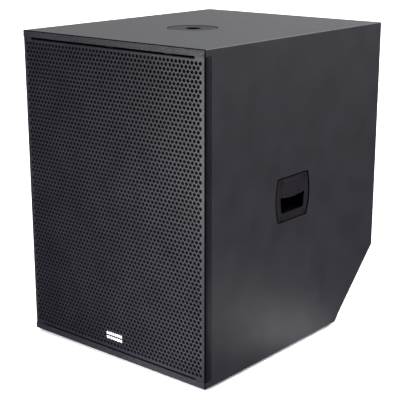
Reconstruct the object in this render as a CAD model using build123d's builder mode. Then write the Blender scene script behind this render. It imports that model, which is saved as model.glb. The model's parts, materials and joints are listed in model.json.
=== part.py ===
from build123d import *

# A front-loaded vented subwoofer cabinet with one 18 inch woofer, in millimetres.
# +Z is up and the front faces -Y. The origin is on the floor, under the centre of the footprint.

import os
from math import cos, pi, sqrt

os.makedirs("parts", exist_ok=True)

# Driving dimensions of the cabinet
WIDTH = 555.0
DEPTH = 680.0
HEIGHT = 745.0  # without the feet
CUT = 168.0  # 45 degree cut along the lower rear edge
PANEL = 15.0  # plywood
EDGE = 2.0  # rounding of the outer edges
FOOT_HEIGHT = 8.0

# Grille: one folded sheet, plain where the real one has rows of small round holes
SHEET = 1.5
GRILLE_STEP = 1.0  # the sheet's face is this far behind the panels' front edges
FLANGE = 21.0  # side flange, measured from the panels' front edges
REBATE = 2.0
FOAM = 8.0  # foam sheet glued behind the grille
FOAM_GAP = 0.3  # glue between the sheet and the foam
SLOT = 3.0  # gap above the folded top edge and under the folded bottom edge
SLOT_INSET = 27.5

# Baffle and bracing
BAFFLE = 18.0
BAFFLE_SETBACK = 55.0
BATTEN = 20.0
SHELF_Z = 254.5
STRUT_HEIGHT = 40.0
STRUT_THICK = 18.0
STRUT_Y = 110.0
STRUT_CENTRES = (400.0, 600.0)
LINING = 20.0
GLUE = 0.5  # glue line between a lining and its panel

# Woofer
WOOFER_Z = 492.0
CUTOUT_RADIUS = 212.0
BOLT_CIRCLE = 220.0
BOLT_COUNT = 8

# Ports
PORT_X = 130.0
PORT_Z = 135.0
PORT_BORE = 75.0
PORT_WALL = 3.0
PORT_FLANGE = 95.0
PORT_LENGTH = 330.0
PORT_SCREW_CIRCLE = 87.5

# Handles, pole socket, terminals and feet
HANDLE_FROM_FRONT = 316.0
HANDLE_RECESS = 5.0
HANDLE_GAP = 4.0  # open groove round the handle's flange
HANDLE_TOP_WIDTH = 113.5
HANDLE_WIDEST = 127.5
HANDLE_FOOT_WIDTH = 107.5
HANDLE_HEIGHT = 100.0
HANDLE_WIDEST_AT = 8.0  # above its middle
HANDLE_CORNER = 4.5
OPENING_TOP = 7.0
OPENING_SAG = 5.0
OPENING_TOP_WIDTH = 95.0
OPENING_FOOT = -32.0
OPENING_FOOT_WIDTH = 87.0
OPENING_TOP_CORNER = 5.0
OPENING_FOOT_CORNER = 8.0
POLE_FROM_FRONT = 284.5
POLE_BORE = 18.0
POLE_DEPTH = 110.0
POLE_FLANGE = 58.0
POLE_SCREW_CIRCLE = 51.0
TERMINAL_Z = 480.0
FOOT_INSET = 45.0
FOOT_RADIUS = 19.0

# Places that follow from the dimensions
SIDE = WIDTH / 2
FRONT = -DEPTH / 2
REAR = DEPTH / 2
BOTTOM = FOOT_HEIGHT
TOP = BOTTOM + HEIGHT
MIDDLE = (BOTTOM + TOP) / 2
INNER_SIDE = SIDE - PANEL
INNER_BOTTOM = BOTTOM + PANEL
INNER_TOP = TOP - PANEL
INNER_REAR = REAR - PANEL
BAFFLE_FRONT = FRONT + BAFFLE_SETBACK
BAFFLE_BACK = BAFFLE_FRONT + BAFFLE
SHEET_FACE = FRONT + GRILLE_STEP
SHEET_BACK = SHEET_FACE + SHEET
FOAM_FRONT = SHEET_BACK + FOAM_GAP
SIDE_FRONT = FOAM_FRONT + FOAM + GLUE  # front edge of the side panels, behind the foam
HANDLE_Y = FRONT + HANDLE_FROM_FRONT
POLE_Y = FRONT + POLE_FROM_FRONT
MITRE_Z = BOTTOM + CUT + PANEL * (sqrt(2) - 1)

ABOVE = (Align.CENTER, Align.CENTER, Align.MIN)
BELOW = (Align.CENTER, Align.CENTER, Align.MAX)

# Working planes. A front plane faces -Y, a rear plane +Y, and a side plane the nearer side.
HANDLE_RIGHT = Plane(origin=(SIDE, HANDLE_Y, MIDDLE), x_dir=(0, 1, 0), z_dir=(1, 0, 0))
WOOFER_FACE = Plane(origin=(0, BAFFLE_FRONT, WOOFER_Z), x_dir=(1, 0, 0), z_dir=(0, -1, 0))
WOOFER_SECTION = Plane(origin=(0, BAFFLE_FRONT, WOOFER_Z))
WOOFER_AXIS = Axis((0, BAFFLE_FRONT, WOOFER_Z), (0, 1, 0))
TERMINAL_REAR = Plane(origin=(0, REAR, TERMINAL_Z), x_dir=(-1, 0, 0), z_dir=(0, 1, 0))


def save(piece, name):
    piece.part.label = name
    export_step(piece.part, f"parts/{name}.step")


def slant_y(z):
    """Where the slanted outer face is at height z."""
    return REAR - CUT + z - BOTTOM


def front_plane(y):
    """A plane across the cabinet at y that faces the front, with x and z as its own axes."""
    return Plane(origin=(0, y, 0), x_dir=(1, 0, 0), z_dir=(0, -1, 0))


def box_between(low, high, mode=Mode.ADD):
    """A box between two opposite corners."""
    with Locations(tuple((a + b) / 2 for a, b in zip(low, high))):
        Box(*(b - a for a, b in zip(low, high)), mode=mode)


def ring_section(inner, outer, start, end):
    """A rectangle in a section plane: radius along x and depth along y."""
    with Locations(((inner + outer) / 2, (start + end) / 2)):
        Rectangle(outer - inner, end - start)


def corrugated_section(radii, depth, height, waves, thickness):
    """Section of a flexible ring: flat lips, and between them waves that rise towards the front."""
    inner, wave_start, wave_end, outer = radii
    steps = 8 * waves

    def surface(shift):
        return [
            (
                wave_start + (wave_end - wave_start) * step / steps,
                depth + shift - height * (1 - cos(2 * pi * waves * step / steps)) / 2,
            )
            for step in range(steps + 1)
        ]

    front = surface(-thickness / 2)
    rear = surface(thickness / 2)
    with BuildLine() as section:
        Line((inner, front[0][1]), front[0])
        Spline(*front)
        Line(front[-1], (outer, front[-1][1]))
        Line((outer, front[-1][1]), (outer, rear[-1][1]))
        Line((outer, rear[-1][1]), rear[-1])
        Spline(*rear)
        Line(rear[0], (inner, rear[0][1]))
        Line((inner, rear[0][1]), (inner, front[0][1]))
    make_face(section.edges())


def screw(radius, length, head_radius, head_height):
    """A screw at each current location: head outside, shank inwards, cross recess in the head."""
    Cylinder(radius, length, align=BELOW)
    Cylinder(head_radius, head_height, align=ABOVE)
    slot_length = 1.2 * head_radius
    slot_width = 0.25 * head_radius
    with Locations((0, 0, head_height)):
        Box(slot_length, slot_width, head_height, mode=Mode.SUBTRACT)
        Box(slot_width, slot_length, head_height, mode=Mode.SUBTRACT)


def handle_outline(grow=0.0):
    """The handle's flange: barrel-shaped, widest above its middle."""
    top_right = (HANDLE_TOP_WIDTH / 2, HANDLE_HEIGHT / 2)
    top_left = (-HANDLE_TOP_WIDTH / 2, HANDLE_HEIGHT / 2)
    foot_right = (HANDLE_FOOT_WIDTH / 2, -HANDLE_HEIGHT / 2)
    foot_left = (-HANDLE_FOOT_WIDTH / 2, -HANDLE_HEIGHT / 2)
    with BuildLine() as edge:
        Line(top_left, top_right)
        ThreePointArc(top_right, (HANDLE_WIDEST / 2, HANDLE_WIDEST_AT), foot_right)
        Line(foot_right, foot_left)
        ThreePointArc(foot_left, (-HANDLE_WIDEST / 2, HANDLE_WIDEST_AT), top_left)
    make_face(edge.edges())
    if grow:
        offset(amount=grow, kind=Kind.INTERSECTION, mode=Mode.REPLACE)
    fillet(vertices(), HANDLE_CORNER)


def handle_opening():
    """The finger opening: its top edge sags, and it narrows downwards."""
    top_right = (OPENING_TOP_WIDTH / 2, OPENING_TOP)
    top_left = (-OPENING_TOP_WIDTH / 2, OPENING_TOP)
    foot_right = (OPENING_FOOT_WIDTH / 2, OPENING_FOOT)
    foot_left = (-OPENING_FOOT_WIDTH / 2, OPENING_FOOT)
    with BuildLine() as edge:
        ThreePointArc(top_left, (0, OPENING_TOP - OPENING_SAG), top_right)
        Line(top_right, foot_right)
        Line(foot_right, foot_left)
        Line(foot_left, top_left)
    opening = make_face(edge.edges())
    fillet(opening.vertices().group_by(Axis.Y)[0], OPENING_FOOT_CORNER)
    fillet(opening.vertices().group_by(Axis.Y)[-1], OPENING_TOP_CORNER)


# ---------------------------------------------------------------- wooden cabinet

HANDLE_SCREWS = [(-46.0, 42.0), (46.0, 42.0), (-46.0, -43.0), (46.0, -43.0)]
WOOD_SCREW = 2.0
CUP_HALF_WIDTH = 53.0
CUP_HALF_HEIGHT = 36.0

with BuildPart() as side_panel_right:
    with BuildSketch(Plane.YZ.offset(INNER_SIDE)):
        with BuildLine():
            Polyline(
                (SIDE_FRONT, INNER_BOTTOM),
                (slant_y(INNER_BOTTOM), INNER_BOTTOM),
                (REAR, BOTTOM + CUT),
                (REAR, INNER_TOP),
                (SIDE_FRONT, INNER_TOP),
                close=True,
            )
        make_face()
    extrude(amount=PANEL)
    rear_edges = side_panel_right.faces().sort_by(Axis.X)[-1].edges()
    fillet(rear_edges.filter_by(lambda edge: edge.center().Y > REAR - CUT / 2 - PANEL), EDGE)
    box_between((SIDE - REBATE, FRONT, INNER_BOTTOM), (SIDE, FRONT + FLANGE + GLUE, INNER_TOP), Mode.SUBTRACT)
    with BuildSketch(HANDLE_RIGHT):
        handle_outline(grow=HANDLE_GAP)
    extrude(amount=-HANDLE_RECESS, mode=Mode.SUBTRACT)
    with BuildSketch(HANDLE_RIGHT):
        RectangleRounded(2 * CUP_HALF_WIDTH + 2, 2 * CUP_HALF_HEIGHT + 2, 9.0)
    extrude(amount=-PANEL, mode=Mode.SUBTRACT)
    with BuildSketch(HANDLE_RIGHT):
        with Locations(*HANDLE_SCREWS):
            Circle(WOOD_SCREW)
    extrude(amount=-PANEL, mode=Mode.SUBTRACT)
save(side_panel_right, "side_panel_right")

with BuildPart() as side_panel_left:
    mirror(side_panel_right.part, about=Plane.YZ)
save(side_panel_left, "side_panel_left")

# The pole socket's flange lies in a round recess of the top panel.
POLE_RECESS = 4.6
POLE_FLANGE_THICK = 4.0
POLE_GAP = 2.8  # open groove round the flange
POLE_WALL = 2.5
POLE_SCREW_COUNT = 4
CLIP_XS = (-170.0, 0.0, 170.0)
CLIP_SCREW_Y = SHEET_FACE + 28.0

with BuildPart() as top_panel:
    box_between((-SIDE, FRONT, INNER_TOP), (SIDE, REAR, TOP))
    fillet(top_panel.edges().filter_by(Axis.Z) + top_panel.faces().sort_by(Axis.Z)[-1].edges(), EDGE)
    with Locations((0, POLE_Y, TOP)):
        Cylinder(POLE_FLANGE + POLE_GAP, POLE_RECESS, align=BELOW, mode=Mode.SUBTRACT)
        Cylinder(POLE_BORE + POLE_WALL + 0.5, PANEL, align=BELOW, mode=Mode.SUBTRACT)
        with PolarLocations(POLE_SCREW_CIRCLE, POLE_SCREW_COUNT, start_angle=45):
            Cylinder(WOOD_SCREW, PANEL, align=BELOW, mode=Mode.SUBTRACT)
    with Locations(*[(x, CLIP_SCREW_Y, INNER_TOP) for x in CLIP_XS]):
        Cylinder(WOOD_SCREW, 10.0, align=ABOVE, mode=Mode.SUBTRACT)
save(top_panel, "top_panel")

FEET = [
    (x * (SIDE - FOOT_INSET), y)
    for x in (-1, 1)
    for y in (FRONT + FOOT_INSET, REAR - CUT - FOOT_INSET)
]

with BuildPart() as bottom_panel:
    with BuildSketch(Plane.YZ):
        with BuildLine():
            Polyline(
                (FRONT, BOTTOM),
                (slant_y(BOTTOM), BOTTOM),
                (slant_y(INNER_BOTTOM), INNER_BOTTOM),
                (FRONT, INNER_BOTTOM),
                close=True,
            )
        make_face()
    extrude(amount=SIDE, both=True)
    lower = bottom_panel.faces().sort_by(Axis.Z)[0].edges()
    outer = lower.filter_by(lambda edge: edge.center().Y < REAR - CUT)
    fillet(bottom_panel.edges().filter_by(Axis.Z) + outer, EDGE)
    with Locations(*[(x, y, BOTTOM) for x, y in FEET]):
        Cylinder(WOOD_SCREW, 12.0, align=ABOVE, mode=Mode.SUBTRACT)
    with Locations(*[(x, CLIP_SCREW_Y, INNER_BOTTOM) for x in CLIP_XS]):
        Cylinder(WOOD_SCREW, 10.0, align=BELOW, mode=Mode.SUBTRACT)
save(bottom_panel, "bottom_panel")

# The terminal plate lies in a stepped cut-out of the back panel.
PLATE_WIDTH = 180.0
PLATE_HEIGHT = 100.0
PLATE_THICK = 2.0
PLATE_GASKET = 1.5
PLATE_RECESS = 9.0
PLATE_CORNER = 8.0
PLATE_SCREWS = [(x, z) for x in (-82.0, 0.0, 82.0) for z in (-42.0, 42.0)]
OPENING_WIDTH = 148.0
OPENING_HEIGHT = 68.0

with BuildPart() as back_panel:
    with BuildSketch(Plane.YZ):
        with BuildLine():
            Polyline(
                (REAR, BOTTOM + CUT),
                (REAR, INNER_TOP),
                (INNER_REAR, INNER_TOP),
                (INNER_REAR, MITRE_Z),
                close=True,
            )
        make_face()
    extrude(amount=INNER_SIDE, both=True)
    with BuildSketch(TERMINAL_REAR):
        RectangleRounded(PLATE_WIDTH + 1, PLATE_HEIGHT + 1, PLATE_CORNER)
    extrude(amount=-PLATE_RECESS, mode=Mode.SUBTRACT)
    with BuildSketch(TERMINAL_REAR):
        RectangleRounded(OPENING_WIDTH, OPENING_HEIGHT, PLATE_CORNER)
    extrude(amount=-PANEL, mode=Mode.SUBTRACT)
    with BuildSketch(TERMINAL_REAR):
        with Locations(*PLATE_SCREWS):
            Circle(WOOD_SCREW)
    extrude(amount=-PANEL, mode=Mode.SUBTRACT)
save(back_panel, "back_panel")

with BuildPart() as slant_panel:
    with BuildSketch(Plane.YZ):
        with BuildLine():
            Polyline(
                (slant_y(INNER_BOTTOM), INNER_BOTTOM),
                (REAR, BOTTOM + CUT),
                (INNER_REAR, MITRE_Z),
                (slant_y(INNER_BOTTOM) - PANEL * sqrt(2), INNER_BOTTOM),
                close=True,
            )
        make_face()
    extrude(amount=INNER_SIDE, both=True)
save(slant_panel, "slant_panel")

TEE_NUT_BARREL = 4.5

with BuildPart() as baffle:
    box_between((-INNER_SIDE, BAFFLE_FRONT, INNER_BOTTOM), (INNER_SIDE, BAFFLE_BACK, INNER_TOP))
    with BuildSketch(front_plane(BAFFLE_FRONT)):
        with Locations((0, WOOFER_Z)):
            Circle(CUTOUT_RADIUS)
            with PolarLocations(BOLT_CIRCLE, BOLT_COUNT, start_angle=22.5):
                Circle(TEE_NUT_BARREL)
        with Locations((-PORT_X, PORT_Z), (PORT_X, PORT_Z)):
            Circle(PORT_BORE + PORT_WALL + 0.5)
            with PolarLocations(PORT_SCREW_CIRCLE, 4, start_angle=45):
                Circle(WOOD_SCREW)
    extrude(amount=-BAFFLE, mode=Mode.SUBTRACT)
save(baffle, "baffle")

with BuildPart() as baffle_battens:
    batten_back = BAFFLE_BACK + BATTEN
    for low_z, high_z in ((INNER_BOTTOM, INNER_BOTTOM + BATTEN), (INNER_TOP - BATTEN, INNER_TOP)):
        box_between((-INNER_SIDE, BAFFLE_BACK, low_z), (INNER_SIDE, batten_back, high_z))
    for low_z, high_z in ((INNER_BOTTOM + BATTEN, SHELF_Z), (SHELF_Z + PANEL, INNER_TOP - BATTEN)):
        box_between((-INNER_SIDE, BAFFLE_BACK, low_z), (BATTEN - INNER_SIDE, batten_back, high_z))
        box_between((INNER_SIDE - BATTEN, BAFFLE_BACK, low_z), (INNER_SIDE, batten_back, high_z))
save(baffle_battens, "baffle_battens")

SHELF_WINDOW_X = 115.0
SHELF_WINDOW = (185.0, 480.0)

with BuildPart() as brace_shelf:
    box_between((-INNER_SIDE, BAFFLE_BACK, SHELF_Z), (INNER_SIDE, INNER_REAR, SHELF_Z + PANEL))
    with BuildSketch(Plane.XY.offset(SHELF_Z)):
        shelf_middle = (BAFFLE_BACK + INNER_REAR) / 2
        with Locations((-SHELF_WINDOW_X, shelf_middle), (SHELF_WINDOW_X, shelf_middle)):
            RectangleRounded(*SHELF_WINDOW, 30.0)
    extrude(amount=PANEL, mode=Mode.SUBTRACT)
save(brace_shelf, "brace_shelf")

with BuildPart() as cross_struts:
    for strut_z in STRUT_CENTRES:
        box_between(
            (-INNER_SIDE, STRUT_Y - STRUT_THICK / 2, strut_z - STRUT_HEIGHT / 2),
            (INNER_SIDE, STRUT_Y + STRUT_THICK / 2, strut_z + STRUT_HEIGHT / 2),
        )
save(cross_struts, "cross_struts")

# ---------------------------------------------------------------- acoustic lining

LINING_GAP = 4.0  # between one lining and the next
LINING_FRONT = BAFFLE_BACK + BATTEN + LINING_GAP
LINING_BACK = INNER_REAR - LINING - LINING_GAP
LINING_TOP = INNER_TOP - LINING - LINING_GAP
LINING_OUTER = INNER_SIDE - GLUE
LINING_INNER = LINING_OUTER - LINING
SHELF_TOP = SHELF_Z + PANEL
LINING_CLEAR = 3.0  # from the shelf, the struts and the panels beside it
CUP_CLEAR = 6.0
LOWER_LINING_BACK = REAR - CUT - 32.0

with BuildPart() as lining_right:
    box_between(
        (LINING_INNER, LINING_FRONT, SHELF_TOP + LINING_CLEAR),
        (LINING_OUTER, LINING_BACK, LINING_TOP),
    )
    box_between(
        (LINING_INNER, LINING_FRONT, INNER_BOTTOM + LINING_CLEAR),
        (LINING_OUTER, LOWER_LINING_BACK, SHELF_Z - LINING_CLEAR),
    )
    cup_y = CUP_HALF_WIDTH + CUP_CLEAR
    cup_z = CUP_HALF_HEIGHT + CUP_CLEAR
    box_between(
        (LINING_INNER, HANDLE_Y - cup_y, MIDDLE - cup_z),
        (LINING_OUTER, HANDLE_Y + cup_y, MIDDLE + cup_z),
        Mode.SUBTRACT,
    )
    strut_y = STRUT_THICK / 2 + LINING_CLEAR
    half_strut = STRUT_HEIGHT / 2 + LINING_CLEAR
    for strut_z in STRUT_CENTRES:
        box_between(
            (LINING_INNER, STRUT_Y - strut_y, strut_z - half_strut),
            (LINING_OUTER, STRUT_Y + strut_y, strut_z + half_strut),
            Mode.SUBTRACT,
        )
save(lining_right, "lining_right")

with BuildPart() as lining_left:
    mirror(lining_right.part, about=Plane.YZ)
save(lining_left, "lining_left")

with BuildPart() as lining_back:
    box_between(
        (LINING_GAP - LINING_INNER, INNER_REAR - GLUE - LINING, SHELF_TOP + LINING_CLEAR),
        (LINING_INNER - LINING_GAP, INNER_REAR - GLUE, LINING_TOP),
    )
    box_between(
        (-PLATE_WIDTH / 2, INNER_REAR - GLUE - LINING, TERMINAL_Z - PLATE_HEIGHT / 2),
        (PLATE_WIDTH / 2, INNER_REAR - GLUE, TERMINAL_Z + PLATE_HEIGHT / 2),
        Mode.SUBTRACT,
    )
save(lining_back, "lining_back")

with BuildPart() as lining_top:
    box_between(
        (LINING_CLEAR - INNER_SIDE, LINING_FRONT, INNER_TOP - GLUE - LINING),
        (INNER_SIDE - LINING_CLEAR, INNER_REAR - LINING_CLEAR, INNER_TOP - GLUE),
    )
    with Locations((0, POLE_Y, INNER_TOP)):
        Cylinder(POLE_BORE + POLE_WALL + 10.0, 2 * LINING, align=BELOW, mode=Mode.SUBTRACT)
        with PolarLocations(POLE_SCREW_CIRCLE, POLE_SCREW_COUNT, start_angle=45):
            Cylinder(CUP_CLEAR, 2 * LINING, align=BELOW, mode=Mode.SUBTRACT)
save(lining_top, "lining_top")

# ---------------------------------------------------------------- grille

SHEET_SIDE = SIDE - 0.3
BEND = 2.5
SHEET_GAP = 0.5  # between the sheet and the panels above and below it
RETURN_DEPTH = 14.0
with BuildPart() as grille:
    with BuildSketch(Plane.XY.offset(INNER_BOTTOM + SHEET_GAP)) as folded_outline:
        with Locations((0, (SHEET_FACE + FRONT + FLANGE) / 2)):
            Rectangle(2 * SHEET_SIDE, FLANGE - GRILLE_STEP)
        fillet(folded_outline.vertices().group_by(Axis.Y)[0], BEND)
        with Locations((0, SHEET_BACK + FLANGE)):
            Rectangle(2 * (SHEET_SIDE - SHEET), 2 * FLANGE, mode=Mode.SUBTRACT)
    extrude(amount=INNER_TOP - INNER_BOTTOM - 2 * SHEET_GAP)
    for edge_z, inwards in ((INNER_TOP, -1), (INNER_BOTTOM, 1)):
        fold = edge_z + inwards * SLOT
        low, high = sorted((edge_z, fold))
        box_between((SLOT_INSET - SIDE, FRONT, low), (SIDE - SLOT_INSET, SHEET_BACK, high), Mode.SUBTRACT)
        low, high = sorted((fold, fold + inwards * SHEET))
        box_between(
            (SLOT_INSET + 1 - SIDE, SHEET_FACE, low), (SIDE - SLOT_INSET - 1, SHEET_FACE + RETURN_DEPTH, high)
        )
save(grille, "grille")

FOAM_CLEAR = SLOT + SHEET + 1.0
FOAM_SIDE = SHEET_SIDE - SHEET - GLUE

with BuildPart() as grille_foam:
    box_between(
        (-FOAM_SIDE, FOAM_FRONT, INNER_BOTTOM + FOAM_CLEAR),
        (FOAM_SIDE, FOAM_FRONT + FOAM, INNER_TOP - FOAM_CLEAR),
    )
save(grille_foam, "grille_foam")

BADGE_Z = BOTTOM + 50.0
BADGE_THICK = 0.6
BADGE = (56.0, 21.0)
SEGMENT = (4.4, 6.6)  # one bar of two rows, like a level meter
SEGMENT_PITCH = (6.4, 10.5)

with BuildPart() as badge_plate:
    with BuildSketch(front_plane(SHEET_FACE)):
        with Locations((0, BADGE_Z)):
            RectangleRounded(*BADGE, 2.0)
    extrude(amount=BADGE_THICK)
save(badge_plate, "badge_plate")

with BuildPart() as badge_emblem:
    with BuildSketch(front_plane(SHEET_FACE - BADGE_THICK)):
        with Locations((0, BADGE_Z)):
            with GridLocations(*SEGMENT_PITCH, 8, 2):
                RectangleRounded(*SEGMENT, 1.0)
    extrude(amount=GRILLE_STEP - BADGE_THICK)
save(badge_emblem, "badge_emblem")

CLIP_THICK = 0.8
CLIP_HALF_WIDTH = 10.0
CLIP_HEAD = 1.6
CLIP_TAIL = CLIP_SCREW_Y + 8.0
CLIP_BEND = CLIP_SCREW_Y - 9.0
CLIP_TIP = SHEET_FACE + 6.0
CLIP_TIP_Z = INNER_TOP - SLOT + 0.05

with BuildPart() as grille_clips:
    for clip_x in CLIP_XS:
        with BuildSketch(Plane.YZ.offset(clip_x)):
            with BuildLine():
                Polyline(
                    (CLIP_TAIL, INNER_TOP),
                    (CLIP_TAIL, INNER_TOP - CLIP_THICK),
                    (CLIP_BEND, INNER_TOP - CLIP_THICK),
                    (CLIP_TIP, CLIP_TIP_Z),
                    (CLIP_TIP, CLIP_TIP_Z + CLIP_THICK),
                    (CLIP_BEND, INNER_TOP),
                    close=True,
                )
            make_face()
        extrude(amount=CLIP_HALF_WIDTH, both=True)
    with Locations(*[(x, CLIP_SCREW_Y, INNER_TOP) for x in CLIP_XS]):
        Cylinder(WOOD_SCREW, 2 * CLIP_THICK, mode=Mode.SUBTRACT)
    mirror(about=Plane.XY.offset(MIDDLE))
save(grille_clips, "grille_clips")

CLIP_SCREW_PLANE = Plane(origin=(0, CLIP_SCREW_Y, INNER_TOP - CLIP_THICK), z_dir=(0, 0, -1))

with BuildPart(CLIP_SCREW_PLANE) as grille_clip_screws:
    with Locations(*[(x, 0) for x in CLIP_XS]):
        screw(WOOD_SCREW, 10.0, 4.0, CLIP_HEAD)
    mirror(about=Plane.XY.offset(MIDDLE))
save(grille_clip_screws, "grille_clip_screws")

# ---------------------------------------------------------------- woofer
# Every depth is measured backwards from the baffle's front face.

FRAME_RADIUS = 231.0
FRAME_FRONT = -12.0
FRAME_GASKET = 2.0
SEAT = -8.0  # depth of the ledge on which the surround is glued
SEAT_RADIUS = 203.0
LIP_RADIUS = 216.0
SURROUND_WAVE_END = 204.0
SURROUND_RADIUS = 214.0
CONE_RADIUS = 182.0
CONE_SHOULDER = 174.0
CONE_THICK = 1.6
NECK_RADIUS = 50.3
NECK_DEPTH = 78.0
FORMER = (50.0, 50.3)
SPIDER_DEPTH = 99.0
SPIDER_WAVE = (56.0, 86.0)
SPIDER_RADIUS = 101.0
BASKET_MOUTH = 209.0
BASKET_FLOOR = 112.0
BASKET_FOOT = 88.0
BASKET_WEB = 5.0
BASKET_SPOKE = 26.0
WINDOW_OUTER = 196.0
WINDOW_INNER = 118.0
PLATE_DEPTH = 125.0
MAGNET_DEPTH = 137.0
YOKE_DEPTH = 175.0
YOKE_END = 187.0
YOKE_POLE = 49.2
VENT_RADIUS = 18.0
COIL_HOLE = 60.0
GAP_RADIUS = 52.5  # the magnetic gap's outer wall
TOP_PLATE_RADIUS = 110.0
MAGNET_RADII = (65.0, 112.0)
BACK_PLATE_RADIUS = 108.0
COIL = (115.0, 147.0)  # depths of the winding's ends
FORMER_END = 148.0
M6 = 3.0


def cone_depth(radius):
    """Depth of the cone's front surface."""
    return SEAT + (CONE_SHOULDER - radius) * (NECK_DEPTH - SEAT) / (CONE_SHOULDER - NECK_RADIUS)


def at_depth(depth):
    return WOOFER_FACE.offset(-depth)


BLOCK_LOW = 114.0  # radial distance of the terminal block's foot from the woofer's axis
BLOCK_HIGH = 138.0
BLOCK_HALF_WIDTH = 22.0
BLOCK_FRONT = 105.0
BLOCK_REAR = 127.0
BUTTON_X = 11.0
BUTTON_HEIGHT = 126.0
BUTTON_RADIUS = 5.0
BUTTON_TRAVEL = 4.0
BUTTON_FRONT = 119.5
BUTTON_REAR = 132.0
BLOCK_WIRE_DEPTH = 116.0


def woofer_box(low, high, mode=Mode.ADD):
    """A box given by x, depth and height above the woofer's axis."""
    box_between(
        (low[0], BAFFLE_FRONT + low[1], WOOFER_Z + low[2]),
        (high[0], BAFFLE_FRONT + high[1], WOOFER_Z + high[2]),
        mode,
    )


with BuildPart() as basket:
    with BuildSketch(WOOFER_SECTION):
        with BuildLine():
            Polyline(
                (FRAME_RADIUS, FRAME_FRONT),
                (FRAME_RADIUS, -FRAME_GASKET),
                (BASKET_MOUTH, -FRAME_GASKET),
                (BASKET_MOUTH, BASKET_WEB + 3),
                (BASKET_FLOOR, SPIDER_DEPTH + BASKET_WEB),
                (BASKET_FLOOR, PLATE_DEPTH),
                (COIL_HOLE, PLATE_DEPTH),
                (COIL_HOLE, PLATE_DEPTH - BASKET_WEB),
                (BASKET_FOOT, PLATE_DEPTH - BASKET_WEB),
                (BASKET_FOOT, SPIDER_DEPTH),
                (SPIDER_RADIUS + 2, SPIDER_DEPTH),
                (SEAT_RADIUS, BASKET_WEB + 1),
                (SEAT_RADIUS, SEAT),
                (LIP_RADIUS, SEAT),
                (LIP_RADIUS, FRAME_FRONT),
                close=True,
            )
        make_face()
    revolve(axis=WOOFER_AXIS)
    with BuildSketch(at_depth(2 * BASKET_WEB)) as windows:
        Circle(WINDOW_OUTER)
        Circle(WINDOW_INNER, mode=Mode.SUBTRACT)
        with PolarLocations((WINDOW_OUTER + WINDOW_INNER) / 2, BOLT_COUNT):
            Rectangle(WINDOW_OUTER - WINDOW_INNER + 12, BASKET_SPOKE, mode=Mode.SUBTRACT)
        fillet(windows.vertices(), 8.0)
    extrude(amount=-(PLATE_DEPTH - 2 * BASKET_WEB), mode=Mode.SUBTRACT)
    with BuildSketch(at_depth(FRAME_FRONT)):
        with PolarLocations(BOLT_CIRCLE, BOLT_COUNT, start_angle=22.5):
            Circle(M6 + 0.2)
    extrude(amount=-20.0, mode=Mode.SUBTRACT)
    woofer_box(
        (-BLOCK_HALF_WIDTH, BLOCK_FRONT, SPIDER_RADIUS - 1),
        (BLOCK_HALF_WIDTH, PLATE_DEPTH, BLOCK_LOW),
    )
save(basket, "basket")

with BuildPart() as woofer_gasket:
    with BuildSketch(at_depth(0)):
        Circle(FRAME_RADIUS)
        Circle(CUTOUT_RADIUS, mode=Mode.SUBTRACT)
        with PolarLocations(BOLT_CIRCLE, BOLT_COUNT, start_angle=22.5):
            Circle(M6 + 0.2, mode=Mode.SUBTRACT)
    extrude(amount=FRAME_GASKET)
save(woofer_gasket, "woofer_gasket")

with BuildPart() as top_plate:
    with BuildSketch(WOOFER_SECTION):
        ring_section(GAP_RADIUS, TOP_PLATE_RADIUS, PLATE_DEPTH, MAGNET_DEPTH)
    revolve(axis=WOOFER_AXIS)
    chamfer(top_plate.edges().group_by(Axis.Y)[-1].sort_by(SortBy.RADIUS)[-1], 1.0)
save(top_plate, "top_plate")

with BuildPart() as magnet:
    with BuildSketch(WOOFER_SECTION):
        ring_section(*MAGNET_RADII, MAGNET_DEPTH, YOKE_DEPTH)
    revolve(axis=WOOFER_AXIS)
    chamfer(magnet.edges().filter_by(GeomType.CIRCLE).sort_by(SortBy.RADIUS)[-2:], 2.0)
save(magnet, "magnet")

with BuildPart() as back_plate:
    with BuildSketch(WOOFER_SECTION):
        ring_section(VENT_RADIUS, YOKE_POLE, PLATE_DEPTH, YOKE_END)
        ring_section(VENT_RADIUS, BACK_PLATE_RADIUS, YOKE_DEPTH, YOKE_END)
    revolve(axis=WOOFER_AXIS)
    chamfer(back_plate.edges().filter_by(GeomType.CIRCLE).sort_by(SortBy.RADIUS)[-2:], 2.0)
save(back_plate, "back_plate")

with BuildPart() as vent_mesh:
    with BuildSketch(WOOFER_SECTION):
        ring_section(0, VENT_RADIUS, YOKE_END - 4, YOKE_END - 3)
    revolve(axis=WOOFER_AXIS)
save(vent_mesh, "vent_mesh")

with BuildPart() as coil_former:
    with BuildSketch(WOOFER_SECTION):
        ring_section(*FORMER, NECK_DEPTH - 3, FORMER_END)
    revolve(axis=WOOFER_AXIS)
save(coil_former, "coil_former")

with BuildPart() as voice_coil:
    with BuildSketch(WOOFER_SECTION):
        ring_section(FORMER[1], FORMER[1] + 1.0, *COIL)
    revolve(axis=WOOFER_AXIS)
save(voice_coil, "voice_coil")

with BuildPart() as cone:
    with BuildSketch(WOOFER_SECTION):
        with BuildLine():
            Polyline(
                (CONE_RADIUS, SEAT),
                (CONE_SHOULDER, SEAT),
                (NECK_RADIUS, NECK_DEPTH),
                (NECK_RADIUS, NECK_DEPTH + 2 * CONE_THICK),
                (CONE_SHOULDER, SEAT + 1.4 * CONE_THICK),
                (CONE_RADIUS, SEAT + CONE_THICK),
                close=True,
            )
        make_face()
    revolve(axis=WOOFER_AXIS)
save(cone, "cone")

CAP_RADIUS = 64.0
CAP_RISE = 16.0
CAP_THICK = 1.0
CAP_SPHERE = (CAP_RADIUS**2 + CAP_RISE**2) / (2 * CAP_RISE)

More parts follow.
